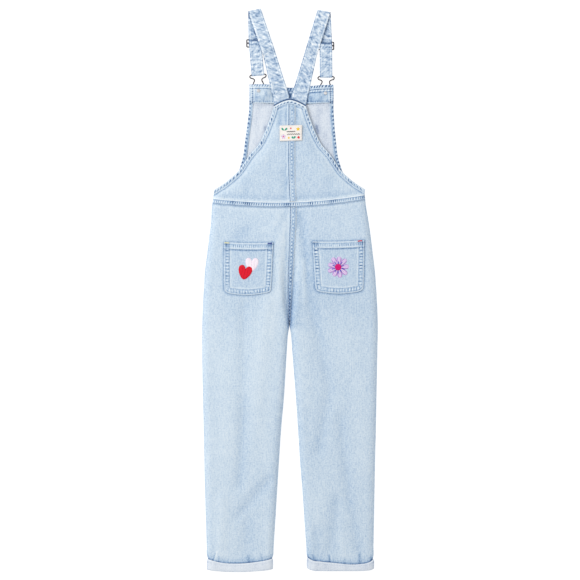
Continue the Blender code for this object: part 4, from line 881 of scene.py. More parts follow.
def strip(name, left, right, base, across, over, under, material, tone):
    """A band between two lines of x, y points. base gives the height that it lies on.

    over and under give the band's two surfaces above that, and tone its lightness, all from the distance
    along the band, the share across it and the width there.
    """
    middle = (left + right) / 2
    s = run_along(middle)[:, None]
    c = np.asarray(across)[None, :]
    x = left[:, :1] * (1 - c) + right[:, :1] * c
    y = left[:, 1:] * (1 - c) + right[:, 1:] * c
    width = np.linalg.norm(right - left, axis=1)[:, None]
    s, c, width = np.broadcast_arrays(s, c, width)
    height = base(x, y)
    outer = np.stack([x, y, height + over(s, c, width)], axis=2)
    inner = np.stack([x, y, height + under(s, c, width)], axis=2)
    piece = wall(name, outer, inner, [material], np.stack([c * width, s], axis=2), tone(s, c, width, x, y))
    return piece, area_of(outer)


def resample(points, step):
    """A line of x, y points again, at even steps."""
    s = run_along(points)
    at = np.linspace(0.0, s[-1], max(2, int(s[-1] / step)))
    return np.stack([np.interp(at, s, points[:, k]) for k in range(points.shape[1])], axis=1)


def crown(c, width, reach):
    """0 at a band's edges and 1 a little way in."""
    return quarter(np.minimum(c, 1 - c) * width, reach)


def armhole_hem(side_name, side):
    """The roped hem along a back armhole."""
    lines = armhole_lines(side)
    share, at = np.linspace(0.0, 1.0, len(lines[0])), np.linspace(0.0, 1.0, 210)
    outer, inner = [pair(*[np.interp(at, share, line[:, k]) for k in (0, 1)]) for line in lines]
    seed = 20 + side

    def over(s, c, width):
        rope = ripple(s, 8.4, seed, 11.0 * c) * bump(c, 0.42, 0.28)
        edge = 1.5 * (1 - quarter(c * width, 1.6)) + 0.55 * (1 - quarter((1 - c) * width, 1.4))
        return 0.55 - edge + 0.48 * rope + 0.2 * bump(c, 0.35, 0.3)

    def under(s, c, width):
        return 0.15 - HEM_CLOTH + 0 * s

    def tone(s, c, width, x, y):
        # Light ridges and dark dashes of the rope, and dark lines along the hem's edges and stitches: painted light
        # and shade, partly the wash's wear on the ridges
        rope = ripple(s, 8.4, seed, 11.0 * c) + 0.5 * noise(s, c, 3.1, 0.3, seed + 7)
        dash = smooth(0.62 - 1.3 * rope) * (0.85 + 0.35 * noise(s, 0 * s, 13.0, 1.0, seed + 8))
        shade = 0.60 * bump(c, 0.16, 0.09) + 0.42 * (1 - dash) * bump(c, 0.42, 0.22) - 0.12 - 0.40 * bump(c, 0.0, 0.07)
        shade = shade - 0.80 * dash * bump(c, 0.40 + 0.05 * rope, 0.20) - 0.34 * bump(c, 0.68, 0.06)
        return shade + 0.46 * bump(c, 0.82, 0.08) - 0.45 * bump(c, 0.99, 0.06)

    base = lambda x, y: bodice_skin(x, y, side)
    name = "back_armhole_hem_shell_" + side_name
    piece, area = strip(name, outer, inner, base, np.linspace(0.0, 1.0, 24), over, under, seam, tone)
    for c in (0.62, 0.86):
        run = resample(outer * (1 - c) + inner * c, 1.0)
        sew(run, lambda x, y: base(x, y) + 0.15, "armholes")
    dress(piece, "denim_seam", "back_armhole_hem_" + side_name, area)


def top_bands():
    """The roped band under the arch, and the facing that stands out above it, painted dark as shade."""
    x = ARCH_X + ARCH_HALF * np.linspace(-1.0, 1.0, 90)
    line = np.stack([x, arch_y(x)], axis=1)
    down = np.array([0.0, -1.0])
    base = lambda x, y: np.where(x < 0, bodice_top(x, y, -1.0), bodice_top(x, y, 1.0))
    across = np.linspace(0.0, 1.0, 24)

    def over(s, c, width):
        rope = ripple(s, 7.6, 31, 7.0 * c) * bump(c, 0.5, 0.3)
        return 0.55 - 0.7 * (1 - crown(c, width, 1.5)) + 0.4 * rope + 0.35 * bump(c, 0.25, 0.25)

    def tone(s, c, width, x, y):
        # Light and dark dashes of the rope, painted shade lines across the band and painted shade at its foot, partly
        # the wash's wear on the rope
        dash = smooth(0.5 - 1.4 * ripple(s, 7.6, 31, 7.0 * c))
        shade = 0.70 * bump(c, 0.20, 0.20) - 0.95 * dash * bump(c, 0.50, 0.17) + 0.3 * (1 - dash) * bump(c, 0.5, 0.2)
        return shade - 0.36 * bump(c, 0.64, 0.07) + 0.30 * bump(c, 0.80, 0.10) - 0.55 * bump(c, 1.0, 0.12)

    under = lambda s, c, width: 0.15 - TOP_BAND_CLOTH + 0 * s
    first, last = line + down * TOP_BAND_STEP, line + down * (TOP_BAND_STEP + TOP_BAND_DEPTH)
    piece, area = strip("back_top_band_shell", first, last, base, across, over, under, seam, tone)
    dress(piece, "denim_seam", "back_top_band", area)
    for c in (0.42, 0.86):
        sew(resample(first * (1 - c) + last * c, 1.0), lambda x, y: base(x, y) + 0.15, "armholes")
    sink = TOP_BAND_CLOTH + SEAM_GAP

    def over_facing(s, c, width):
        return 0.15 - sink + 0.9 * bump(c, 0.12, 0.18) * smooth((c + 0.02) / 0.1)

    def tone_facing(s, c, width, x, y):
        rope = ripple(s, 6.4, 33, 2.0 * c)
        # The facing is painted dark as shade, with lighter and darker lines of its rope
        return -0.72 - 0.18 * rope - 0.24 * bump(c, 0.34, 0.16) + 0.25 * bump(c, 0.0, 0.07)

    under = lambda s, c, width: 0.15 - sink - 1.0 + 0 * s
    piece, area = strip("back_top_facing_shell", line, line + down * 9.0, base, across, over_facing, under,
                        seam, tone_facing)
    dress(piece, "denim_seam", "back_top_facing", area)


def bead_at(s, c, width, pitch, seed):
    """A chain of small raised rings along the middle of a seam, from -1 in their rims to 1."""
    swing = 0.8 * noise(s, 0 * s, pitch * 2.0, 1.0, seed + 3)
    turn = 2 * math.pi * (s + 1.2 * noise(s, 0 * s, pitch * 3.0, 1.0, seed)) / pitch
    side = (c - 0.54) * width + swing
    half = np.minimum(2.5, 0.32 * width)
    inner = np.exp(-(side / (0.62 * half)) ** 2) * (0.5 + 0.5 * np.cos(turn)) ** 0.8
    rim = np.exp(-((np.abs(side) - half) / (0.4 * half)) ** 2) * (0.55 + 0.45 * np.cos(turn))
    gap = np.exp(-(side / half) ** 2) * (0.5 - 0.5 * np.cos(turn)) ** 2
    size = 0.95 + 0.35 * noise(s, 0 * s, pitch * 1.7, 1.0, seed + 5)
    return size * (1.1 * inner - 0.75 * rim - 0.85 * gap)


def felled(node, start_y, end_y, half_width, seed):
    """A flat-felled seam over the centre back, puckered between its two lines of stitches."""
    y = np.linspace(start_y, end_y, int((start_y - end_y) / 0.85))
    x, half = centre_x(y), half_width(y)
    left, right = np.stack([x - half, y], axis=1), np.stack([x + half, y], axis=1)

    def base(px, py):
        return skin(px, py) + SEAM_GAP + 0.06

    def over(s, c, width):
        profile = smooth((c + 0.04) / 0.1) * smooth((1.02 - c) / 0.3)
        return 0.2 + 0.9 * profile + 0.4 * profile * bead_at(s, c, width, 7.4, seed)

    def tone(s, c, width, px, py):
        # Painted highlights on the beads and painted shade in their rims and along the stitch lines, partly the wash's
        # wear; towards the crotch the seam is painted darker as shade
        shade = 0.44 * bead_at(s, c, width, 7.4, seed) - 0.17 * bump(c, 0.55, 0.27)
        shade = shade + 0.30 * bump(c, 0.0, 0.04) - 0.90 * bump(c, 0.11, 0.075) + 0.30 * bump(c, 0.25, 0.06)
        shade = shade - 0.30 * bump(c, 0.84, 0.06) + 0.26 * bump(c, 0.95, 0.05)
        low = smooth((110.0 - py) / 110.0)
        return shade - 0.30 * low * bump(c, 0.45, 0.4) - 0.45 * smooth((20.0 - py) / 60.0)

    under = lambda s, c, width: 0 * s
    across = np.linspace(0.0, 1.0, 33)
    piece, area = strip(node + "_shell", left, right, base, across, over, under, seam, tone)
    for c in (0.14, 0.86):
        sew(left * (1 - c) + right * c, lambda px, py: base(px, py) + CLOTH, "centre")
    dress(piece, "denim_seam", node, area)


def waist_band():
    """The waist seam of the back, with its two lines of stitches."""
    low, high = float(side_x(WAIST_Y, -1.0)), float(side_x(WAIST_Y, 1.0))
    t = np.linspace(0.0, 1.0, 420)
    half = WAIST_SEAM_WIDTH / 2
    rows = []
    for offset in (half, -half):
        x = low + 1.1 + (high - low - 2.2) * t
        for _ in range(4):
            y = waist_y(x) + offset
            start, end = side_x(y[0], -1.0) + 1.1, side_x(y[-1], 1.0) - 1.1
            x = start + (end - start) * t
        rows.append(np.stack([x, waist_y(x) + offset], axis=1))

    def base(x, y):
        return skin(x, y) + SEAM_GAP + 0.1

    def over(s, c, width):
        return CLOTH - 0.7 * (1 - crown(c, width, 1.2)) + 0.35 * ripple(s, 4.6, 41, 1.5 * c) * bump(c, 0.52, 0.22)

    def tone(s, c, width, x, y):
        # Painted light and shade of the seam's ripples, a painted light line along its top and painted shade lines
        # along its stitches and foot; it is also darker at the listed places
        fine = ripple(s, 4.6, 41, 1.5 * c)
        shade = 0.85 * fine * bump(c, 0.52, 0.25) - 0.14 * bump(c, 0.5, 0.3) + 0.75 * bump(c, 0.06, 0.09)
        shade = shade - 0.42 * bump(c, 0.27, 0.08) * (1 + 0.6 * fine) - 0.35 * bump(x, 4.0, 14.0) * bump(c, 0.86, 0.07)
        shade = shade - 0.58 * bump(c, 0.86, 0.08) * (1 + 0.4 * fine) + 0.28 * bump(c, 0.72, 0.06)
        for place, wide in ((-88.0, 8.0), (-4.0, 7.0), (86.0, 7.0), (151.0, 7.0), (-118.0, 4.0), (42.0, 4.0)):
            shade = shade - 0.42 * bump(x, place, wide) * bump(c, 0.5, 0.34)
        return shade

    under = lambda s, c, width: 0 * s
    piece, area = strip("back_waist_seam_shell", rows[0], rows[1], base, np.linspace(0.0, 1.0, 27), over,
                        under, seam, tone)
    for c in (0.20, 0.82):
        sew(rows[0] * (1 - c) + rows[1] * c, lambda x, y: base(x, y) + CLOTH, "waist")
    dress(piece, "denim_seam", "back_waist_seam", area)


def pocket_rows(side_name, spans):
    """The left and right ends of a pocket's rows, from its mouth at 0 to its foot at 1."""
    rows = POCKETS[side_name]
    depth = np.array([rows[0][0] - row[0] for row in rows])
    share = depth / depth[-1]
    columns = [np.interp(spans, share, [row[c] for row in rows]) for c in range(4)]
    turn = np.clip((spans - share[3]) / (1 - share[3]), 0.0, 1.0)
    round_it = 1 - np.sqrt(1 - turn ** 2 * 0.98)
    low = spans > share[3]
    for c in (2, 3):
        columns[c] = np.where(low, rows[3][c] + (rows[4][c] - rows[3][c]) * round_it, columns[c])
    return columns


def pocket_points(side_name, spans, across):
    """The x and y of points of a pocket."""
    left_y, right_y, left, right = [column[:, None] for column in pocket_rows(side_name, spans)]
    c, span = across[None, :], spans[:, None]
    sag = 1.6 * np.sin(math.pi * c) * (1 - span) + 4.0 * np.sin(math.pi * c) * smooth(span * 3 - 2)
    return left + (right - left) * c, left_y + (right_y - left_y) * c - sag


def pocket_outline(side_name):
    """The outline of a pocket, from its mouth's left end round its foot and along its mouth."""
    spans = np.concatenate([np.linspace(0.0, 0.85, 8), np.linspace(0.88, 1.0, 6)])
    x, y = pocket_points(side_name, spans, np.linspace(0.0, 1.0, 9))
    edge = np.concatenate([np.stack([x[:, 0], y[:, 0]], 1), np.stack([x[-1, 1:], y[-1, 1:]], 1),
                           np.stack([x[-2::-1, -1], y[-2::-1, -1]], 1), np.stack([x[0, -2::-1], y[0, -2::-1]], 1)])
    return edge


def pocket(side_name, side):
    """A patch pocket with a doubled mouth and two lines of stitches round it."""
    spans = np.concatenate([np.linspace(0.0, 0.86, 92), np.linspace(0.87, 1.0, 22)])
    across = np.linspace(0.0, 1.0, 108)
    x, y = pocket_points(side_name, spans, across)
    outline = pocket_outline(side_name)
    edge = line_distance(x, y, outline)
    mouth = pocket_points(side_name, np.array([0.0]), across)[1]
    below = mouth - y
    rim = line_distance(x, y, outline[:35])
    hem = smooth((14.5 - below) / 1.5)
    low_edge = pocket_points(side_name, np.array([1.0]), across)[1]
    foot = smooth((14.5 - (y - low_edge)) / 1.5) * smooth((rim + 15.0 - (y - low_edge)) / 3.0)
    at_mouth = (below < 14.0) & (rim > 0.2)
    wrinkle = np.where(foot > 0.5, ripple(x, 6.0, 50 + side), ripple(y, 6.4, 60 + side))
    wrinkle = np.where(at_mouth, ripple(x, 4.3, 70 + side), wrinkle)
    wrinkle = wrinkle * (0.8 + 0.3 * noise(x, y, 12.0, 12.0, 53)) + 0.35 * noise(x, y, 2.8, 2.8, 54)
    band = bump(rim, 6.8, 3.2)
    band = np.where(at_mouth, 0.75 * bump(below, 7.6, 2.6) * smooth((rim - 4.0) / 6.0), band)
    height = SEAM_GAP + CLOTH - 0.8 * (1 - quarter(edge, 1.6)) + POCKET_HEM_EXTRA * hem
    height = height + 0.42 * wrinkle * band + 0.30 * band - 0.22 * bump(rim, 12.6, 1.4) - 0.2 * bump(rim, 1.9, 0.8)
    inner_part = smooth((edge - 14.0) / 10.0)
    height = height + inner_part * (0.35 + 0.25 * noise(x, y, 18.0, 24.0, 52))
    base = leg_skin(x, y, side)
    outer = np.stack([x, y, base + height], axis=2)
    inner = np.stack([x, y, base + SEAM_GAP], axis=2)
    # Painted light and shade of the wrinkles in the stitched band, painted light and shade lines along the edge, the
    # stitches and the mouth's hem, and painted shade under the hem; darker near the mouth's corners
    tone = -0.14 + 0.86 * wrinkle * band - 0.02 * band + 0.50 * bump(rim, 1.6, 1.2) - 0.42 * bump(rim, 3.8, 1.1)
    tone = tone - 0.32 * bump(rim, 11.0, 1.3) + 0.34 * bump(rim, 13.6, 1.5) * (below > 14.0)
    tone = tone - 0.52 * bump(rim, 0.0, 1.2) + 0.45 * bump(below, 1.9, 1.2) - 0.30 * bump(below, 4.2, 1.2)
    tone = tone - 0.58 * bump(below, 15.0, 1.6) * smooth((rim - 8.0) / 4.0) + 0.38 * bump(below, 12.0, 1.5)
    for corner in (0, -1):
        tone = tone - 0.34 * bump(np.hypot(x - x[0, corner], y - y[0, corner] + 9.0), 6.0, 5.0)
    name = "pocket_shell_" + side_name
    piece = wall(name, outer, inner, [denim], pair(x, y), tone)
    top = lambda px, py: leg_skin(px, py, side) + SEAM_GAP + CLOTH + 0.12
    hem_top = lambda px, py: top(px, py) + POCKET_HEM_EXTRA
    for inset in (1.9, 12.2):
        path = pocket_points(side_name, spans, np.array([0.0, 1.0]))
        left = np.stack([path[0][:, 0] + inset, path[1][:, 0]], 1)
        right = np.stack([path[0][:, 1] - inset, path[1][:, 1]], 1)
        fx, fy = pocket_points(side_name, np.array([1.0]), across)
        low = np.stack([fx[0], fy[0] + inset], 1)
        keep_low = (low[:, 0] > left[-1, 0] - 2 + inset * 0.4) & (low[:, 0] < right[-1, 0] + 2 - inset * 0.4)
        low = low[keep_low]
        left = left[left[:, 1] > low[0, 1] + inset * 0.35]
        right = right[right[:, 1] > low[-1, 1] + inset * 0.35]
        run = resample(np.concatenate([left[2:], low, right[:1:-1]]), 1.0)
        sew(run, top, "pockets")
        mx, my = pocket_points(side_name, np.array([0.0]), across)
        line = np.stack([mx[0], my[0] - (inset if inset < 5 else 12.8)], 1)[3:-3]
        sew(resample(line, 1.0), hem_top, "pockets")
    dress(piece, "denim", "pocket_" + side_name, area_of(outer))


# Edges of the cuffs. Columns: x, level of the upper edge, level of the lower edge
CUFF_EDGES = {
    "left": [(-171.0, -551.0, -573.2), (-161.0, -553.4, -574.4), (-149.2, -556.6, -575.6), (-137.4, -558.8, -576.5),
             (-113.9, -560.2, -577.2), (-90.4, -559.4, -577.0), (-66.8, -556.6, -575.6), (-52.7, -554.4, -574.4),
             (-36.0, -550.4, -572.4)],
    "right": [(35.0, -547.2, -568.5), (40.0, -550.4, -572.4), (46.1, -553.6, -574.2), (62.6, -556.0, -575.2),
              (97.9, -559.6, -575.4), (121.4, -561.8, -575.4), (145.0, -561.0, -575.2), (156.7, -559.2, -574.6),
              (166.2, -555.4, -573.4), (173.0, -549.4, -570.0)],
}


def cuff_edges(x, side):
    """The levels of a cuff's upper and lower edges."""
    rows = CUFF_EDGES["left" if side < 0 else "right"]
    return along(rows, 1, x), along(rows, 2, x)


def cuff(side_name, side):
    """A turned-up cuff round the end of a leg, wrong side out."""
    level = -565.0
    outer_edge, inner_edge = float(side_x(level, side)), float(inner_x(level, side))
    width = abs(outer_edge - inner_edge)
    reach = float(along(CENTRE, 3, level) + along(CENTRE, 4, level))
    x_back = outer_edge - side * spread_columns(width, SIDE_REACH, reach, 60, 12)
    back = leg_skin(x_back, np.full_like(x_back, level), side)
    x_front = (outer_edge - side * spread_columns(width, FRONT_CURL, FRONT_CURL, 30, 7))[::-1][1:-1]
    front = front_under(x_front, np.full_like(x_front, level), side)
    loop = np.stack([np.concatenate([x_back, x_front]), np.concatenate([back, front])], axis=1)
    tangent = np.roll(loop, -1, axis=0) - np.roll(loop, 1, axis=0)
    normal = np.stack([tangent[:, 1], -tangent[:, 0]], axis=1)
    normal /= np.linalg.norm(normal, axis=1, keepdims=True)
    if normal[0, 0] * side < 0:
        normal = -normal
    upper, lower = cuff_edges(loop[:, 0], side)
    top = smooth((loop[:, 1] - 3.0) / 5.0)
    steps = np.concatenate([[0.0, 0.02, 0.05, 0.10], np.linspace(0.16, 0.86, 12), [0.91, 0.95, 0.98, 1.0]])
    grid_out, grid_in, tone = [], [], []
    run = np.cumsum(np.hypot(*(np.roll(loop, -1, axis=0) - loop).T))
    for step in steps:
        y = upper * (1 - step) + lower * step
        depth = (upper - lower) * min(step, 1 - step)
        swell = quarter(depth, 1.4)
        soft = 0.5 * bump(step, 0.55, 0.35) + 0.35 * noise(run, y, 26.0, 14.0, 63 + side) * swell
        out = loop + normal * (SEAM_GAP + 0.5 + (HEM_CLOTH - 0.5) * swell + soft * top)[:, None]
        inner = loop + normal * SEAM_GAP
        grid_out.append(np.stack([out[:, 0], y, np.maximum(out[:, 1], 0.0)], axis=1))
        grid_in.append(np.stack([inner[:, 0], y, inner[:, 1]], axis=1))
        # Painted shade along the cuff's lower edge and painted light along its upper edge, painted shade at its two
        # ends, and the right cuff painted a little darker as shade
        edge = 0.04 - 0.42 * bump(step, 1.0, 0.09) + 0.30 * bump(step, 0.0, 0.08) - 0.16 * bump(step, 0.24, 0.08)
        ends = 0.34 * bump(np.minimum(np.abs(loop[:, 0] - outer_edge), np.abs(loop[:, 0] - inner_edge)), 0.0, 1.8)
        tone.append(edge - ends + 0.05 * noise(run, y, 20.0, 8.0, 65) + (0.06 if side < 0 else -0.04))
    uv = np.stack(np.broadcast_arrays(run[None, :], -(steps * 16.0)[:, None]), axis=2)
    name = "cuff_shell_" + side_name
    piece = wall(name, np.array(grid_out), np.array(grid_in), [inside], uv, np.array(tone), closed=True)
    grid = np.array(grid_out)
    area = area_of(np.concatenate([grid, grid[:, :1]], axis=1))
    dress(piece, "denim_inside", "cuff_" + side_name, area)


# The bib's top and the facing's foot. Columns: x, rise of the top edge, rise of the foot
BIB_TOP = [(-83.0, 6.6, 0.0), (-60.0, 7.0, -0.8), (-43.0, 6.4, -2.0), (-20.0, 2.6, -2.6), (0.0, 0.4, -3.0),
           (20.0, 1.4, -3.0), (38.0, 3.4, -2.6), (60.0, 4.9, -1.6), (89.0, 6.0, -0.8)]
# Darker and lighter strokes on the bib's wrong side: painted shade from the back and straps above it, a painted light
# ridge, and two small darker patches by the armhole edges. Columns: start x, y, end x, y, half width, tone
BIB_SHADES = [
    (-66.0, 372.0, -70.0, 300.0, 6.0, -0.12), (60.0, 370.0, 54.0, 318.0, 8.0, -0.2),
    (-55.0, 370.0, -60.0, 330.0, 5.0, 0.10), (62.0, 330.0, 84.0, 262.0, 9.0, -0.12),
    (-51.0, 334.0, -49.0, 326.0, 4.0, -0.55), (54.0, 336.0, 57.0, 324.0, 4.0, -0.55),
]


def bib_grid(levels, middle, close):
    """The x and y of points of the front bib."""
    rows_x, rows_y = [], []
    for level in levels:
        low = level < SIDE_TOP_Y
        left = float(side_x(level, -1.0)) if low else float(along(BIB_EDGE, 1, level))
        right = float(side_x(level, 1.0)) if low else float(along(BIB_EDGE, 2, level))
        x = left + spread_columns(right - left, FRONT_CURL, FRONT_CURL, middle, close)
        share = max(0.0, (level - FACING_DEPTH_Y) / (BIB_TOP_Y - FACING_DEPTH_Y))
        rows_x.append(x)
        rows_y.append(level + along(BIB_TOP, 1, x) * share + along(BIB_TOP, 2, x) * (1 - share) * (share > 0))
    return np.array(rows_x), np.array(rows_y)


def bib():
    """The front bib, face down, and its facing with the roped top edge."""
    levels = np.concatenate([np.arange(FRONT_WAIST_Y + SEAM_GAP / 2, BIB_TOP_Y, 2.4), [BIB_TOP_Y]])
    x, y = bib_grid(levels, 90, 6)
    points = np.stack([x, y, bib_under(x, y)], axis=2)
    normal = -upward(surface_normals(points))
    curl = (1.0 - smooth((y[:, 0] - SIDE_TOP_Y) / 8.0)) * math.pi / 2
    normal[:, 0] = np.stack([-np.sin(curl), 0 * curl, -np.cos(curl)], axis=1)
    normal[:, -1] = np.stack([np.sin(curl), 0 * curl, -np.cos(curl)], axis=1)
    upper = points - normal * CLOTH
    away = np.minimum(x - x[:, :1], x[:, -1:] - x)
    upper[:, :, 2] += 0.25 * (1 + noise(x, y, 26.0, 60.0, 71)) * smooth(away / 12.0) * smooth((380.0 - y) / 8.0)
    tone = 0.05 * noise(x, y, 16.0, 70.0, 72) + 0.05 * noise(x, y, 9.0, 40.0, 73)
    # The bib's wrong side is painted darker towards the right, as shade
    tone = tone - 0.16 * smooth((x - 40.0) / 50.0) * 0.8 + 0.04
    for *stroke, amount in BIB_SHADES:
        tone = tone + amount * along_stroke(x, y, *stroke)
    # Painted shade just under the facing's foot
    tone = tone - 0.22 * bump(y, FACING_DEPTH_Y - 3.0, 2.5)
    piece = wall("bib_shell", upper, points, [inside, denim], pair(x, y), tone)
    dress(piece, "denim_inside", "front_bib", area_of(upper))

    levels = np.linspace(FACING_DEPTH_Y, BIB_TOP_Y, 46)
    x, y = bib_grid(levels, 176, 7)
    base = bib_under(x, y) + CLOTH + SEAM_GAP
    left, right = x - x[:, :1], x[:, -1:] - x
    top = y[-1:] - y
    foot = y - y[:1]
    side = np.minimum(left, right)
    rope = ripple(x, 5.8, 75, 0.5 * top)
    pleat = smooth(0.5 - 1.6 * rope)
    rough = noise(x, y, 7.0, 5.0, 76)
    roll = bump(top, 2.8, 2.4)
    height = CLOTH - 0.8 * (1 - quarter(np.minimum(top, side), 1.6)) - 0.6 * (1 - quarter(foot, 1.2))
    height = height + 0.5 * roll + 0.32 * rope * roll + 0.16 * rough * smooth(top / 9.0)
    fine = ripple(x, 4.4, 77, 0.0) * bump(foot, 2.6, 2.2) + ripple(y, 4.6, 78, 0.0) * bump(side, 6.0, 2.4)
    height = height + 0.20 * fine
    outer = np.stack([x, y, base + height], axis=2)
    inner = np.stack([x, y, base], axis=2)
    on_right = smooth((x - 10.0) / 20.0)
    # The facing's right half is painted darker as shade; rough and noise vary its tone at random
    tone = -0.02 - 0.17 * on_right + 0.14 * rough + 0.17 * noise(x, y, 3.0, 13.0, 79)
    # The roped top edge gets painted light on its ridges and painted shade in its pleats, partly the wash's wear, with
    # light and shade lines along the edge and its stitches
    tone = tone + roll * (0.5 - 1.3 * pleat * (0.85 + 0.25 * on_right)) + 0.5 * bump(top, 6.4, 0.9)
    tone = tone - 0.75 * bump(top, 8.6, 1.0) + 0.15 * bump(top, 11.0, 1.2) - 0.45 * bump(top, 0.0, 1.1)
    second = on_right * (0.55 * (1 - 1.3 * pleat) * bump(top, 11.0, 1.6) - 0.6 * bump(top, 14.2, 1.1))
    tone = tone + second + 0.34 * fine - 0.34 * bump(foot, 3.6, 1.2) + 0.30 * bump(foot, 1.2, 1.0)
    # Darker dashes along the side stitches and lighter lines beside them; painted shade along the side edges and
    # towards the foot's corners
    beads = 0.65 + 0.5 * ripple(y, 5.2, 78)
    tone = tone - 0.85 * beads * bump(side, 6.4, 1.4) + 0.45 * bump(side, 3.4, 1.2) + 0.34 * bump(side, 9.4, 1.4)
    tone = tone - 0.75 * (0.5 + 0.5 * ripple(y, 6.4, 74)) * bump(side, 0.6, 1.6)
    tone = tone - 0.5 * smooth((12.0 - side) / 3.0) * bump(foot, 1.5, 1.8)
    # Painted shadow in the gap between the straps, with a lighter spot and line in it
    strap_gap_shade = bump(x, -1.0, 7.0)
    tone = tone - 1.1 * strap_gap_shade + 1.5 * bump(x, 1.6, 3.4) * bump(y, 406.2, 1.5) + 0.5 * strap_gap_shade * bump(y, 412.5, 1.3)
    # Painted shadow along the right strap's edge, and painted shade below the left button's rise
    shaded = bump(segment_distance(x, y, 34.2, 414.0, 35.8, 384.0), 0.0, 2.2)
    tone = tone - 0.9 * shaded - 0.3 * bump(x, -68.0, 12.0) * bump(y, 394.0, 7.0)
    piece = wall("bib_facing_shell", outer, inner, [seam], pair(x, y), tone)
    dress(piece, "denim_seam", "bib_facing", area_of(outer))
    on_facing = lambda px, py: bib_under(px, py) + 2 * CLOTH + SEAM_GAP + 0.1
    column = lambda k: np.stack([x[:, k], y[:, k]], 1)
    sew(resample(np.stack([x[3], y[3]], 1)[5:-5], 1.0), on_facing, "bib")
    sew(resample(np.stack([x[-12], y[-12]], 1)[8:-8], 1.0), on_facing, "bib")
    for k, way in ((0, 1), (-1, -1)):
        line = column(k)[2:-10] + np.array([way * 6.2, 0.0])
        sew(resample(line, 1.0), on_facing, "bib")


def front_hem(side_name, side):
    """The double-turned hem on the inside of the front armhole and of the bib's side."""
    levels = np.linspace(216.0, FACING_DEPTH_Y - 2 * SEAM_GAP, 200)
    edge = along(BIB_EDGE, 1 if side < 0 else 2, levels)
    slope = np.gradient(edge, levels)
    width = FRONT_HEM_WIDTH * np.sqrt(1 + slope ** 2)
    outer = np.stack([edge - side * 0.02 * width, levels], axis=1)
    inner = np.stack([edge - side * width, levels], axis=1)
    seed = 80 + side
    base = lambda x, y: bib_under(x, y) + CLOTH + SEAM_GAP + 0.1

    def over(s, c, width):
        rope = ripple(s, 8.2, seed, 3.0 * c)
        return FRONT_HEM_CLOTH - 0.8 * (1 - crown(c, width, 1.5)) + 0.4 * rope * bump(c, 0.3, 0.3)

    def tone(s, c, width, x, y):
        # The hem is darker overall; the light and dark dashes of its rope and the lines along its edges and stitches
        # are painted light and shade, partly the wash's wear
        rope = ripple(s, 8.2, seed, 3.0 * c) + 0.35 * noise(s, c, 3.0, 0.3, seed + 4)
        dash = smooth(0.45 - 1.5 * rope)
        shade = -0.30 + 0.16 * noise(s, c, 6.0, 0.4, seed) + 0.42 * (1 - dash) * bump(c, 0.24, 0.20)
        shade = shade - 0.66 * dash * bump(c, 0.24, 0.24) - 0.16 * bump(c, 0.62, 0.08) - 0.15 * bump(c, 0.0, 0.08)
        return shade + 0.10 * bump(c, 0.8, 0.1) + 0.34 * bump(c, 0.97, 0.06)

    under = lambda s, c, width: 0 * s
    name = "front_armhole_hem_shell_" + side_name
    piece, area = strip(name, outer, inner, base, np.linspace(0.0, 1.0, 22), over, under, seam, tone)
    sew(resample(outer * 0.2 + inner * 0.8, 1.0), lambda x, y: base(x, y) + FRONT_HEM_CLOTH, "bib")
    dress(piece, "denim_seam", "front_armhole_hem_" + side_name, area)


def ribbon_rows(side_name, times):
    """The stations of a strap from under the back, over its fold and the hook, to the slider."""
    places = {key: np.array(value).reshape(2, 2) for key, value in STRAPS[side_name].items()}
    half = STRAP_CLOTH / 2
    stations = []

    def run(start, end, count, profile, first=0.0, last=1.0):
        for t in np.linspace(first, last, (count - 1) * times + 1):
            line = places[start] * (1 - t) + places[end] * t
            stations.append((line[0], line[1], profile(line)))

    def over_front(line):
        heights = []
        for point in (line[0], (line[0] + line[1]) / 2, line[1]):
            on_bib = smooth((BIB_TOP_Y + 16.0 - point[1]) / 8.0)
            on_facing = smooth((point[1] - FACING_DEPTH_Y + 8.0) / 7.0) * (SEAM_GAP + CLOTH)
            heights.append(on_bib * (CLOTH + on_facing + 0.85 + front_rise(*point)) + (1 - on_bib) * 0.3)
        return np.array([heights[0], heights[2]]) + half

    def hump(line):
        level = line[:, 1].mean()
        rise = 5.9 * smooth((level - 452.0) / 30.0) - 2.4 * smooth((level - 520.0) / 36.0)
        return np.maximum(over_front(line), 0.3 + half + rise)

    run("end", "arch", 4, over_front)
    run("arch", "middle", 10, over_front, 0.12, 1.0)
    run("middle", "fold", 8, hump, 0.12, 0.97)
    fold = places["fold"]
    direction = (fold[1] - fold[0]) / np.linalg.norm(fold[1] - fold[0])
    outward = np.array([-direction[1], direction[0]])
    low, high = 0.3 + half, 0.3 + half + 2 * FOLD_RADIUS
    for angle in np.linspace(math.pi / 2, -math.pi / 2, 13):
        shift = outward * (FOLD_RADIUS * math.cos(angle) - FOLD_RADIUS - half)
        height = (low + high) / 2 + FOLD_RADIUS * math.sin(angle)
        stations.append((fold[0] + shift, fold[1] + shift, height))
    slider_z = SLIDER_PLATE + SEAM_GAP + half

    def lower(line):
        level = line[:, 1].mean()
        near = smooth((548.0 - level) / 28.0) - smooth((492.0 - level) / 40.0)
        return low + (slider_z - low) * near

    turn = WIRE_RADIUS + SEAM_GAP + half
    run("fold", "slider", 5, lower, 0.08, 1.0)
    run("slider", "hook", 9, lower, 0.12, 0.94)
    hook = places["hook"]
    for angle in np.linspace(-math.pi / 2, math.pi / 2, 13):
        shift = np.array([0.0, turn + half - turn * math.cos(angle)])
        stations.append((hook[0] + shift, hook[1] + shift, low + turn + turn * math.sin(angle)))

    def upper(line):
        level = line[:, 1].mean()
        bridge = SLIDER_BRIDGE_Z + 1.2 + SEAM_GAP + half
        near = smooth((level - 475.0) / 18.0)
        return (low + 2 * turn) * (1 - near) + bridge * near

    run("hook", "slider", 9, upper, 0.08, 1.0)
    return stations


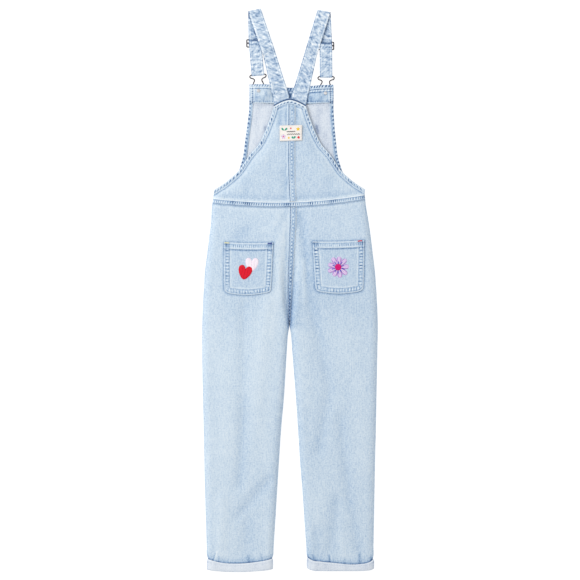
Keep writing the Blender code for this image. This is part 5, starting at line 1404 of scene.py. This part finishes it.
def strap(side_name, side):
    """One strap: a single band, folded over at the top and looped through the hook."""
    shares = 0.5 - 0.5 * np.cos(np.linspace(0.0, math.pi, 25))
    shares = 0.45 * shares + 0.55 * np.linspace(0.0, 1.0, 25)
    rows = []
    for left, right, height in ribbon_rows(side_name, 8):
        ends = np.broadcast_to(height, (2,))
        place = left[None, :] * (1 - shares[:, None]) + right[None, :] * shares[:, None]
        rows.append(np.concatenate([place, (ends[0] * (1 - shares) + ends[1] * shares)[:, None]], axis=1))
    middle = np.array(rows)
    normal = surface_normals(middle)
    s = run_along(middle[:, len(shares) // 2])[:, None]
    width = np.linalg.norm(middle[:, -1] - middle[:, 0], axis=1)[:, None]
    c = shares[None, :] + 0 * s
    edge = np.minimum(c, 1 - c) * width
    seed = 90 + side
    wrinkle = noise(c * width + 0.5 * s, s, 11.0, 5.0, seed) * 0.45 + 0.55 * ripple(s, 8.8, seed, side * 4.0 * c)
    wrinkle = wrinkle * smooth(edge / 3.0) * smooth((s - 4.0) / 10.0) * smooth((s[-1] - s - 4.0) / 8.0)
    thick = STRAP_CLOTH / 2 * (0.25 + 0.75 * quarter(edge, 0.9))
    outer = middle + normal * (thick + 0.22 * wrinkle)[:, :, None]
    inner = middle - normal * (thick - 0.22 * wrinkle)[:, :, None]
    # The wrinkles get painted light and shade; along the edges a dark rim and a pale line, painted light and shade
    # partly the wash's wear; the fold is painted darker as shade
    tone = 0.40 * wrinkle - 0.56 * bump(edge, 0.2, 1.3) + 0.50 * bump(edge, 2.9, 1.0) - 0.20 * bump(edge, 4.9, 0.8)
    tone = tone - 0.45 * bump(s, STRAP_FOLD, 2.4)
    # The layers under the strap get painted shade along its edge and along its own end, and the upper layer's edge a
    # painted light line
    places = {key: np.array(value).reshape(2, 2) for key, value in STRAPS[side_name].items()}
    below = smooth((s - 206.0) / 4.0)
    column = 0 if side < 0 else 1
    over_layer = (1 - below) * smooth((middle[:, :, 1] - 474.0) / 10.0)
    tone = tone + 1.1 * over_layer * bump((c if side < 0 else 1 - c) * width, 0.5, 1.2)
    over_edge = segment_distance(middle[:, :, 0], middle[:, :, 1], *places["fold"][column], *places["middle"][column])
    tone = tone - 1.0 * below * bump(over_edge, 0.0, 2.0)
    end = segment_distance(middle[:, :, 0], middle[:, :, 1], *middle[-1, 0, :2], *middle[-1, -1, :2])
    tone = tone - 1.7 * below * bump(end, 0.0, 2.2)
    last = s[-1] - s
    tone = tone + 0.30 * bump(last, 4.0, 1.4) - 0.45 * bump(last, 9.0, 1.6)
    # The marbling runs the same way on both sides of the fold
    shift = (0.0 if side < 0 else 60.0) + 34.0 * (s > STRAP_FOLD)
    uv = np.stack([c * width + shift, STRAP_FOLD - np.abs(s - STRAP_FOLD) + 0 * c], axis=2)
    name = "strap_band_" + side_name
    piece = wall(name, outer, inner, [strap_cloth], uv, tone)
    cut = (STRAP_CUT_WIDTH, float(s[-1, 0]) * MM)
    dress(piece, "strap_denim", "strap_" + side_name, area_of(outer), cut)


def label_base(x, y):
    """The underside of the label, which lies flat over the centre seam."""
    seam_top = skin(SEAM_TOP_X + 0 * x, y) + CLOTH + 3 * SEAM_GAP + 0.3
    return seam_top - 0.9 * smooth((np.abs(x - SEAM_TOP_X) - 7.0) / 20.0)


def label():
    """A woven label sewn over the centre seam."""
    x, y = np.meshgrid(np.linspace(*LABEL_X, 70), np.linspace(*LABEL_Y, 52))
    from_ends = np.minimum(x - LABEL_X[0], LABEL_X[1] - x)
    edge = np.minimum(from_ends, np.minimum(LABEL_Y[0] - y, y - LABEL_Y[1]))
    y = y + LABEL_LEAN * x
    base = label_base(x, y)
    height = 0.8 - 0.5 * (1 - quarter(edge, 1.0))
    outer, inner = np.stack([x, y, base + height], axis=2), np.stack([x, y, base], axis=2)
    tone = -0.20 * bump(edge, 1.8, 0.5) - 0.15 * bump(edge, 0.0, 0.6) + 0.05 * noise(x, y, 6.0, 6.0, 96)
    piece = wall("label_cloth", outer, inner, [label_cloth], pair(x, y), tone)
    dress(piece, "label_cloth", "label", area_of(outer))


# Bar tacks: from thread to thread, across the tack, each thread's slant, and its radius
TACK_PITCH, TACK_WIDTH, TACK_LEAN, TACK_THREAD = 0.55, 2.3, 0.3, 0.36
# Stitches wait here by seam until they are made, as pairs of ends
SEWN = {}


def add_threads(group, starts, ends, surface, radius):
    """Threads between x, y points, at the height of a surface."""
    starts, ends = [np.column_stack([points, surface(*points.T)]) for points in (starts, ends)]
    SEWN.setdefault(group, []).append((starts, ends, np.full(len(starts), radius)))


def sew(points, surface, group, stitch=2.5, gap=0.9, radius=0.30):
    """A line of stitches along x, y points that are about a millimetre apart."""
    points = resample(np.asarray(points), 0.5)
    s = run_along(points)
    starts = np.arange(0.4, s[-1] - stitch, stitch + gap)
    ends = starts + stitch
    a = np.stack([np.interp(starts, s, points[:, k]) for k in (0, 1)], axis=1)
    b = np.stack([np.interp(ends, s, points[:, k]) for k in (0, 1)], axis=1)
    add_threads(group, a, b, surface, radius)


def stitches(name, items, material, slot):
    """One mesh of many short threads, each a little raised in its middle."""
    a, b, radius = [np.concatenate([item[k] for item in items]) for k in range(3)]
    direction = b - a
    direction /= np.linalg.norm(direction, axis=1, keepdims=True)
    across = np.cross(direction, (0.0, 0.0, 1.0))
    across /= np.linalg.norm(across, axis=1, keepdims=True)
    up = np.cross(across, direction)
    vertices, count, sides = [], len(a), 5
    for share, size, rise in ((0.0, 0.45, -0.15), (0.22, 1.0, 0.16), (0.78, 1.0, 0.16), (1.0, 0.45, -0.15)):
        centre = a + (b - a) * share + up * rise
        for k in range(sides):
            angle = 2 * math.pi * k / sides
            ring = (across * math.cos(angle) + up * math.sin(angle)) * (radius * size)[:, None]
            vertices.append(centre + ring)
    vertices = np.stack(vertices, axis=1).reshape(-1, 3)
    start = np.arange(count)[:, None, None] * 4 * sides
    quads = (np.array(ring_faces(4, sides))[None] + start).reshape(-1, 4).tolist()
    caps = [[sides - 1 - k for k in range(sides)], [3 * sides + k for k in range(sides)]]
    quads += (np.array(caps)[None] + start).reshape(-1, sides).tolist()
    dress(plain_object(name, vertices, quads, material), slot)


def bar_tack(x0, y0, x1, y1, surface, group):
    """A bar tack: close stitches across a short line."""
    dx, dy, long = x1 - x0, y1 - y0, math.hypot(x1 - x0, y1 - y0)
    t = np.linspace(0.0, 1.0, max(4, int(long / TACK_PITCH)))
    middle = pair(x0 + dx * t, y0 + dy * t)
    across = np.array([-dy, dx]) / long * TACK_WIDTH / 2
    lean = np.array([dx, dy]) / long * TACK_LEAN
    add_threads(group, middle - across - lean, middle + across + lean, surface, TACK_THREAD)


def satin(name, outline, centre, surface, material, rise, groove=None, slot="denim"):
    """A raised patch of satin stitches inside an outline of x, y points."""
    steps = np.concatenate([np.linspace(0.0, 0.85, 12), [0.91, 0.96, 1.0]])
    grid = centre + (outline - centre)[None, :, :] * steps[:, None, None]
    x, y = grid[:, :, 0], grid[:, :, 1]
    crowned = np.sqrt(np.clip(1 - steps ** 5, 0.0, 1.0))[:, None] + 0 * x
    dip = groove(x, y) if groove else 0.0 * x
    base = surface(x, y)
    outer = np.stack([x, y, base + 0.05 + crowned * (rise - 0.35 * dip)], axis=2)
    inner = np.stack([x, y, base - 0.3], axis=2)
    # Painted shade in the grooves and towards the patch's edges, painted light on the ridges beside the grooves
    tone = -0.38 * dip - 0.20 * (1 - crowned)
    piece = wall(name, outer, inner, [material], pair(x, y), tone, closed=True)
    dress(piece, slot)


def heart(middle_x, middle_y, size, tilt, count=72):
    """The outline of a plain heart."""
    t = np.linspace(0.0, 2 * math.pi, count, endpoint=False)
    full = 0.12 + 0.70 * smooth((0.5 - np.cos(t)) / 1.2)
    x = 16 * ((1 - full) * np.sin(t) ** 3 + full * np.sin(t))
    y = 13 * np.cos(t) - 5 * np.cos(2 * t) - 2 * np.cos(3 * t) - np.cos(4 * t) + 2.5
    x, y = x * size / 32, y * 1.12 * size / 32
    return np.stack([middle_x + x * math.cos(tilt) - y * math.sin(tilt),
                     middle_y + x * math.sin(tilt) + y * math.cos(tilt)], axis=1)


def petal(middle_x, middle_y, angle, start, end, width, count=36):
    """The outline of a rounded petal that points away from a middle."""
    t = np.linspace(0.0, 2 * math.pi, count, endpoint=False)
    u = 0.5 - 0.5 * np.cos(t)
    r = start + (end - start) * u
    w = width / 2 * np.sin(t) * (0.55 + 0.65 * u)
    return np.stack([middle_x + r * math.cos(angle) - w * math.sin(angle),
                     middle_y + r * math.sin(angle) + w * math.cos(angle)], axis=1)


def pocket_top(side):
    """The top of a pocket's cloth away from its edges."""
    return lambda x, y: leg_skin(x, y, side) + SEAM_GAP + CLOTH + 0.35


def motifs():
    """The two hearts on the left pocket and the flower on the right one."""
    top = pocket_top(-1.0)

    def folds_of(middle_x, middle_y, tilt):
        """The dips between a heart's lobes and along each of them."""
        def dip(x, y):
            off = np.abs((x - middle_x) * math.cos(tilt) + (y - middle_y) * math.sin(tilt))
            return np.maximum(bump(off, 0.0, 0.6), 0.7 * bump(off, 5.6, 0.6))
        return dip

    satin("motif_heart_pale", heart(-78.0, 52.0, 27.0, -0.03), np.array([-78.0, 52.0]), top, thread["pale"], 0.8,
          folds_of(-78.0, 52.0, -0.03))
    high = lambda x, y: top(x, y) + 0.45
    satin("motif_heart_red", heart(-92.3, 35.8, 28.4, -0.2), np.array([-92.3, 36.0]), high, thread["red"], 1.0,
          folds_of(-92.3, 35.8, -0.2))
    top = pocket_top(1.0)
    cx, cy = 98.6, 46.7
    spread = [0.06, 0.78, 1.45, 2.12, 2.86, 3.55, 4.25, 4.92, 5.60]
    for k, angle in enumerate(spread):
        long = (21.5, 22.5, 21.0, 22.0, 20.5, 21.5, 20.0, 21.0, 22.5)[k]
        place = petal(cx, cy, angle, 4.5, long + 0.8, 10.6)

        def line(x, y, a=angle):
            off = np.abs((y - cy) * math.cos(a) - (x - cx) * math.sin(a))
            return bump(off, 3.6, 1.0) - 0.9 * bump(off, 1.6, 0.8)

        middle = np.array([cx + 13.5 * math.cos(angle), cy + 13.5 * math.sin(angle)])
        high = lambda x, y, h=0.05 * (k % 3): top(x, y) + h
        satin("motif_petal_%d" % k, place, middle, high, thread["lilac"], 0.75, line)
    for k in range(10):
        angle = 0.3 + k * 2 * math.pi / 10
        ends = [np.array([[cx + r * math.cos(angle), cy + r * math.sin(angle)]]) for r in (6.2, 12.2 + 1.6 * (k % 2))]
        add_threads("stamens", *ends, lambda x, y: top(x, y) + 1.15, 0.85)
    t = np.linspace(0.0, 2 * math.pi, 48, endpoint=False)
    disc = np.stack([cx + 6.8 * np.cos(t), cy + 6.8 * np.sin(t)], axis=1)
    satin("motif_disc", disc, np.array([cx, cy]), lambda x, y: top(x, y) + 0.5, thread["magenta"], 1.0)


def label_motifs():
    """Small generic marks on the label: a star, rings, leaves, a diamond and two wavy lines."""
    top = lambda x, y: label_base(x, y) + 0.72
    round_t = np.linspace(0.0, 2 * math.pi, 20, endpoint=False)

    def mark(name, middle_x, middle_y, radii, material):
        """A small patch whose radius runs through a row of values."""
        radius = np.interp(np.arange(20) % len(radii), np.arange(len(radii)), radii)
        middle = np.array([middle_x, middle_y])
        outline = middle + radius[:, None] * np.stack([np.cos(round_t + 0.3), np.sin(round_t + 0.3)], axis=1)
        satin(name, outline, middle, top, thread[material], 0.25, slot="label_cloth")

    mark("label_star", 16.6, 329.6, (4.4, 3.2, 2.0, 3.2), "yellow")
    mark("label_star_small", -2.5, 311.6, (2.6, 1.9, 1.2, 1.9), "yellow")
    mark("label_diamond", 17.6, 312.6, (3.6, 2.6, 2.2, 2.2, 2.6), "red")
    mark("label_diamond_small", 1.6, 331.0, (2.2, 1.6, 1.4, 1.4, 1.6), "red")
    for k in range(5):
        angle = k * 2 * math.pi / 5 + 0.4
        mark("label_dot_%d" % k, -13.4 + 3.3 * math.cos(angle), 314.0 + 3.3 * math.sin(angle), (1.5, 1.5), "lilac")
    mark("label_dot_middle", -13.4, 314.0, (1.4, 1.4), "magenta")
    for k, (x, y, angle, long) in enumerate(((-12.0, 326.0, 0.7, 8.6), (-12.0, 326.0, 2.3, 8.0),
                                             (7.4, 309.4, 1.0, 6.6), (7.4, 309.4, 2.2, 6.0))):
        leaf = petal(x, y, angle, 0.6, long, 4.2, 20)
        centre = np.array([x + long / 2 * math.cos(angle), y + long / 2 * math.sin(angle)])
        satin("label_leaf_%d" % k, leaf, centre, top, thread["green"], 0.25, slot="label_cloth")
    for first, last, level in ((-7.0, 12.0, 324.4), (-6.0, 21.0, 319.0)):
        x = np.linspace(first, last, 60)
        sew(np.stack([x, level + 0.03 * x + 1.1 * np.sin(x * 1.5)], axis=1), top, "label_line", 2.4, 0.5, 0.8)
    frame_line = np.array([(-19.6, 335.8), (23.0, 335.8), (23.0, 307.2), (-19.6, 307.2), (-19.6, 335.8)])
    frame_line[:, 1] += 0.03 * frame_line[:, 0]
    sew(resample(frame_line, 0.8), lambda a, b: top(a, b) - 0.05, "label_edge", 1.9, 0.8, 0.22)


def tube(name, points, radius, material, slot, node, sides=16, times=6):
    """A round wire along a closed path, smoothed between its points."""
    points = np.array(points)
    count = len(points)
    t = np.arange(count * times) / times
    i = np.floor(t).astype(int)
    f = (t - i)[:, None]
    p0, p1, p2, p3 = [points[(i + k) % count] for k in (-1, 0, 1, 2)]
    path = 0.5 * (2 * p1 + (p2 - p0) * f + (2 * p0 - 5 * p1 + 4 * p2 - p3) * f ** 2
                  + (3 * p1 - p0 - 3 * p2 + p3) * f ** 3)
    tangent = np.roll(path, -1, axis=0) - np.roll(path, 1, axis=0)
    tangent /= np.linalg.norm(tangent, axis=1, keepdims=True)
    across = np.cross(tangent, (0.0, 0.0, 1.0))
    across /= np.linalg.norm(across, axis=1, keepdims=True)
    over = np.cross(across, tangent)
    angles = np.linspace(0.0, 2 * math.pi, sides, endpoint=False)
    ring = across[:, None] * np.cos(angles)[None, :, None] + over[:, None] * np.sin(angles)[None, :, None]
    vertices = (path[:, None] + radius * ring).reshape(-1, 3)
    dress(plain_object(name, vertices, ring_faces(len(path), sides, True), material), slot, node)


def hook(side_name):
    """The wire hook: its bar in the strap's loop, its eye round the button's shank."""
    place = np.array(STRAPS[side_name]["hook"]).reshape(2, 2)
    middle = place.mean(axis=0)
    tilt = (place[1, 1] - place[0, 1]) / (place[1, 0] - place[0, 0])
    shank = np.array(BUTTON_CENTRE[side_name])
    bar_y = STRAP_CLOTH + SEAM_GAP + WIRE_RADIUS
    radius = SHANK_RADIUS + SEAM_GAP + WIRE_RADIUS

    def wire(sign):
        points = []
        for dx, dy, z in HOOK_WIRE:
            share = float(smooth(-dy / 20.0))
            centre = middle[0] * (1 - share) + shank[0] * share
            rise = dy + (bar_y - HOOK_WIRE[0][1] if dy > 0 else 0.0)
            points.append((centre + sign * dx, middle[1] + rise + tilt * sign * dx * (1 - share), z))
        return points

    bottom = []
    for angle in np.linspace(0.1, math.pi - 0.1, 7):
        bottom.append((shank[0] + radius * math.cos(angle), shank[1] - radius * math.sin(angle), 3.9))
    bar = [(middle[0] + dx, middle[1] + bar_y + tilt * dx, 2.7) for dx in (-6.0, 6.0)]
    path = wire(1.0) + bottom + wire(-1.0)[::-1] + bar
    tube("hook_wire_" + side_name, path, WIRE_RADIUS + 0.15, steel, "hardware", "hook_" + side_name)


def turned(name, centre, profile, material, slot, node, sides=48):
    """A round piece from a profile of radius and height."""
    angles = np.linspace(0.0, 2 * math.pi, sides, endpoint=False)
    vertices = [(centre[0] + r * math.cos(a), centre[1] + r * math.sin(a), z) for r, z in profile for a in angles]
    faces = ring_faces(len(profile), sides)
    faces += [range(sides)[::-1], range((len(profile) - 1) * sides, len(profile) * sides)]
    piece = plain_object(name, vertices, faces, material)
    soften(piece, 0.0002)
    dress(piece, slot, node)


def button(side_name):
    """The shank button under the bib and its tack back on the facing."""
    centre = BUTTON_CENTRE[side_name]
    top = BUTTON_RISE - SEAM_GAP
    head = [(BUTTON_RADIUS - 1.2, 0.0), (BUTTON_RADIUS - 0.3, 0.25), (BUTTON_RADIUS, 0.7), (BUTTON_RADIUS, 1.5),
            (BUTTON_RADIUS - 0.4, 2.0), (BUTTON_RADIUS - 1.0, BUTTON_HEAD), (SHANK_RADIUS + 0.4, BUTTON_HEAD + 0.1),
            (SHANK_RADIUS, BUTTON_HEAD + 0.5), (SHANK_RADIUS, top)]
    turned("button_head_" + side_name, centre, head, steel, "hardware", "button_" + side_name)
    base = BUTTON_RISE + 2 * CLOTH + 2 * SEAM_GAP
    rim = [(TACK_RADIUS, base), (TACK_RADIUS, base + 0.4), (TACK_RADIUS - 0.35, base + 0.85),
           (TACK_RADIUS - 0.9, base + 1.1), (1.9, base + 1.2), (1.2, base + 1.15), (0.6, base + 0.8)]
    turned("tack_back_" + side_name, centre, rim, nickel, "tack", "tack_" + side_name)


def slider(side_name):
    """The strap's slider: a flat frame of rounded bars, with a bridge that holds the strap's end."""
    x, y = SLIDER_CENTRE[side_name]
    wide, long = SLIDER_SIZE
    half_x, half_y, bar = wide / 2, long / 2, SLIDER_BAR
    corner = 2.6

    def ring(inset, height):
        points = []
        r = max(corner - inset, 0.5)
        for cx, cy, start in ((1, 1, 0.0), (-1, 1, 0.5), (-1, -1, 1.0), (1, -1, 1.5)):
            for t in np.linspace(0.0, 0.5, 7):
                angle = math.pi * (start + t)
                points.append((x + cx * (half_x - inset - r) + r * math.cos(angle),
                               y + cy * (half_y - inset - r) + r * math.sin(angle), height))
        return points

    rounds = [(0.0, 0.4), (0.0, 1.2), (0.35, SLIDER_PLATE), (bar - 0.35, SLIDER_PLATE), (bar, 1.2), (bar, 0.4),
              (bar - 0.35, 0.0), (0.35, 0.0)]
    rows = [ring(*item) for item in rounds]
    vertices = [p for row in rows for p in row]
    faces = ring_faces(len(rows), len(rows[0]), True)
    top = SLIDER_BRIDGE_Z + 1.2
    # Half of the bridge's underside and of its top. Columns: x from the middle, height
    arch = [(-half_x + 0.2, 1.5), (-half_x + 0.3, 3.0), (-half_x + bar, SLIDER_BRIDGE_Z)]
    roof = [(-half_x + 0.1, 1.5), (-half_x + 0.2, top - 0.5), (-half_x + bar, top)]
    arch, roof = [row + [(-dx, z) for dx, z in row[::-1]] for row in (arch, roof)]
    first = len(vertices)
    for dy in (-1.5, 1.5):
        for dx, z in arch + roof[::-1]:
            vertices.append((x + dx, y + dy, z))
    n = len(arch) * 2
    faces += [(first + k, first + (k + 1) % n, first + n + (k + 1) % n, first + n + k) for k in range(n)]
    for k in range(len(arch) - 1):
        a, b, c, d = first + k, first + k + 1, first + n - 2 - k, first + n - 1 - k
        faces += [(a, d, c, b), (a + n, b + n, c + n, d + n)]
    piece = plain_object("slider_frame_" + side_name, vertices, faces, steel)
    soften(piece, 0.00025)
    dress(piece, "hardware", "slider_" + side_name)


denim = cloth_material("washed_denim", DENIM)
seam = cloth_material("seam_denim", DENIM, mottle=0.08, slub=0.10, weft=0.07, base=0.47)
inside = cloth_material("denim_wrong_side", INSIDE, mottle=0.06, slub=0.10, weft=0.07)
strap_cloth = cloth_material("marbled_strap_denim", STRAP, mottle=0.08, slub=0.06, weft=0.06, marble=0.56, base=0.49)
label_cloth = cloth_material("label_weave", [(0.0, (190, 180, 172)), (0.5, (241, 235, 229)), (1.0, (250, 246, 242))],
                             mottle=0.03, slub=0.04, weft=0.04, twill=0.03)
steel = metal_material("dark_nickel", (74, 70, 78), 0.4)
nickel = metal_material("bright_nickel", (238, 237, 238), 0.42)
thread = {
    "denim": thread_material("thread_pale_blue", (214, 225, 236), (176, 196, 216), 0.7),
    "yellow_tack": thread_material("thread_pale_yellow", (240, 236, 190), (214, 206, 150), 0.6),
    "navy": thread_material("thread_navy", (44, 60, 156), (26, 34, 104), 0.5),
    "red": thread_material("thread_red", (234, 16, 42), (172, 6, 32), 0.5, 5200.0, 0.25),
    "pale": thread_material("thread_pale_pink", (248, 243, 250), (242, 208, 228), 0.5, 5200.0, -0.42,
                            (253, 252, 254)),
    "lilac": thread_material("thread_lilac", (212, 180, 228), (180, 134, 206), 0.5, 5200.0, 0.9, (244, 232, 248)),
    "magenta": thread_material("thread_magenta", (226, 16, 120), (166, 6, 84), 0.5, 5200.0, 0.4),
    "violet": thread_material("thread_violet", (56, 40, 196), (36, 26, 150), 0.5),
    "yellow": thread_material("thread_yellow", (248, 206, 40), (214, 160, 20), 0.5, 5200.0),
    "green": thread_material("thread_green", (60, 168, 140), (34, 120, 100), 0.5, 5200.0),
    "dark": thread_material("thread_dark", (70, 66, 78), (40, 38, 48), 0.6),
    "cream": thread_material("thread_cream", (240, 232, 222), (214, 202, 190), 0.6),
}

bib()
for side_name, side in SIDE_SIGN.items():
    front_leg(side_name, side)
    back_leg(side_name, side)
    bodice(side_name, side)
    armhole_hem(side_name, side)
    front_hem(side_name, side)
    cuff(side_name, side)
    pocket(side_name, side)
    strap(side_name, side)
    slider(side_name)
    hook(side_name)
    button(side_name)
waist_band()
top_bands()
fell_top = float(arch_y(SEAM_TOP_X)) - TOP_BAND_STEP - TOP_BAND_DEPTH - SEAM_GAP - 0.4
felled("back_centre_seam", fell_top, WAIST_Y + WAIST_SEAM_WIDTH / 2 + SEAM_GAP + 0.4,
       lambda y: FELL_WIDTH / 2 + 0 * y, 35)
felled("back_seat_seam", WAIST_Y - WAIST_SEAM_WIDTH / 2 - SEAM_GAP - 0.2, -71.0,
       lambda y: np.maximum(along(CENTRE, 3, y) - 1.5, 2.7 - 1.2 * smooth((-y - 45.0) / 26.0)), 37)
label()
motifs()
label_motifs()
on_pocket = {side: (lambda x, y, s=side: pocket_top(s)(x, y) + POCKET_HEM_EXTRA) for side in (-1.0, 1.0)}
bar_tack(-134.0, 96.9, -124.5, 96.2, on_pocket[-1.0], "tack_yellow")
bar_tack(-45.5, 95.0, -37.0, 95.8, on_pocket[-1.0], "tack_navy")
bar_tack(139.0, 100.0, 147.0, 100.9, on_pocket[1.0], "tack_red")
bar_tack(47.0, 98.4, 55.0, 97.8, on_pocket[1.0], "tack_plain")
COLOUR_OF = {"tack_yellow": "yellow_tack", "tack_navy": "navy", "tack_red": "red", "stamens": "violet",
             "label_line": "dark", "label_edge": "cream"}
for group, items in SEWN.items():
    slot = "label_cloth" if group.startswith("label") else "denim_seam"
    stitches("stitching_" + group, items, thread[COLOUR_OF.get(group, "denim")], slot)

# Floor, light and camera, in metres. The paper glows so that it comes out white, as the photo's ground is
FLOOR_HALF, FLOOR_Z, PAPER_GREY, PAPER_GLOW = 6, -0.0004, 0.24, 0.86
KEY_PLACE, KEY_SIZE, KEY_WATTS, SKY_STRENGTH = np.array([-2.0, 1.2, 2.0]), 1.2, 44.0, 0.78
WHITE = (1.0, 1.0, 1.0, 1.0)
floor_mesh = bpy.data.meshes.new("floor")
floor_corners = [(x * FLOOR_HALF, y * FLOOR_HALF, FLOOR_Z) for x, y in ((-1, -1), (1, -1), (1, 1), (-1, 1))]
floor_mesh.from_pydata(floor_corners, [], [(0, 1, 2, 3)])
floor = bpy.data.objects.new("floor", floor_mesh)
bpy.context.collection.objects.link(floor)
paper = Nodes("white_paper")
paper.finish(Base_Color=(PAPER_GREY, PAPER_GREY, PAPER_GREY, 1.0), Roughness=0.9, Emission_Color=WHITE,
             Emission_Strength=PAPER_GLOW)
floor_mesh.materials.append(paper.material)

# One soft square light from the upper left, turned to the garment's middle
key = bpy.data.lights.new("key", "AREA")
key.size, key.energy = KEY_SIZE, KEY_WATTS
lamp = bpy.data.objects.new("key", key)
bpy.context.collection.objects.link(lamp)
lamp.location = KEY_PLACE
away = KEY_PLACE / np.linalg.norm(KEY_PLACE)
lamp.rotation_euler = (math.acos(away[2]), 0.0, math.atan2(away[1], away[0]) + math.pi / 2)
world = bpy.data.worlds.new("studio")
world.use_nodes = True
sky = world.node_tree.nodes["Background"]
sky.inputs["Color"].default_value, sky.inputs["Strength"].default_value = WHITE, SKY_STRENGTH
scene = bpy.context.scene
scene.world = world
scene.view_settings.view_transform = "Standard"

# The photo's frame is 1189 mm wide at the garment, seen from straight above
camera = bpy.data.cameras.new("camera")
camera.lens, camera.sensor_width = 100.0, 36.0
camera.clip_end = 50.0
eye = bpy.data.objects.new("camera", camera)
bpy.context.collection.objects.link(eye)
eye.location = (0.0, 0.0, 1.189 * 100.0 / 36.0 + 0.008)
scene.camera = eye
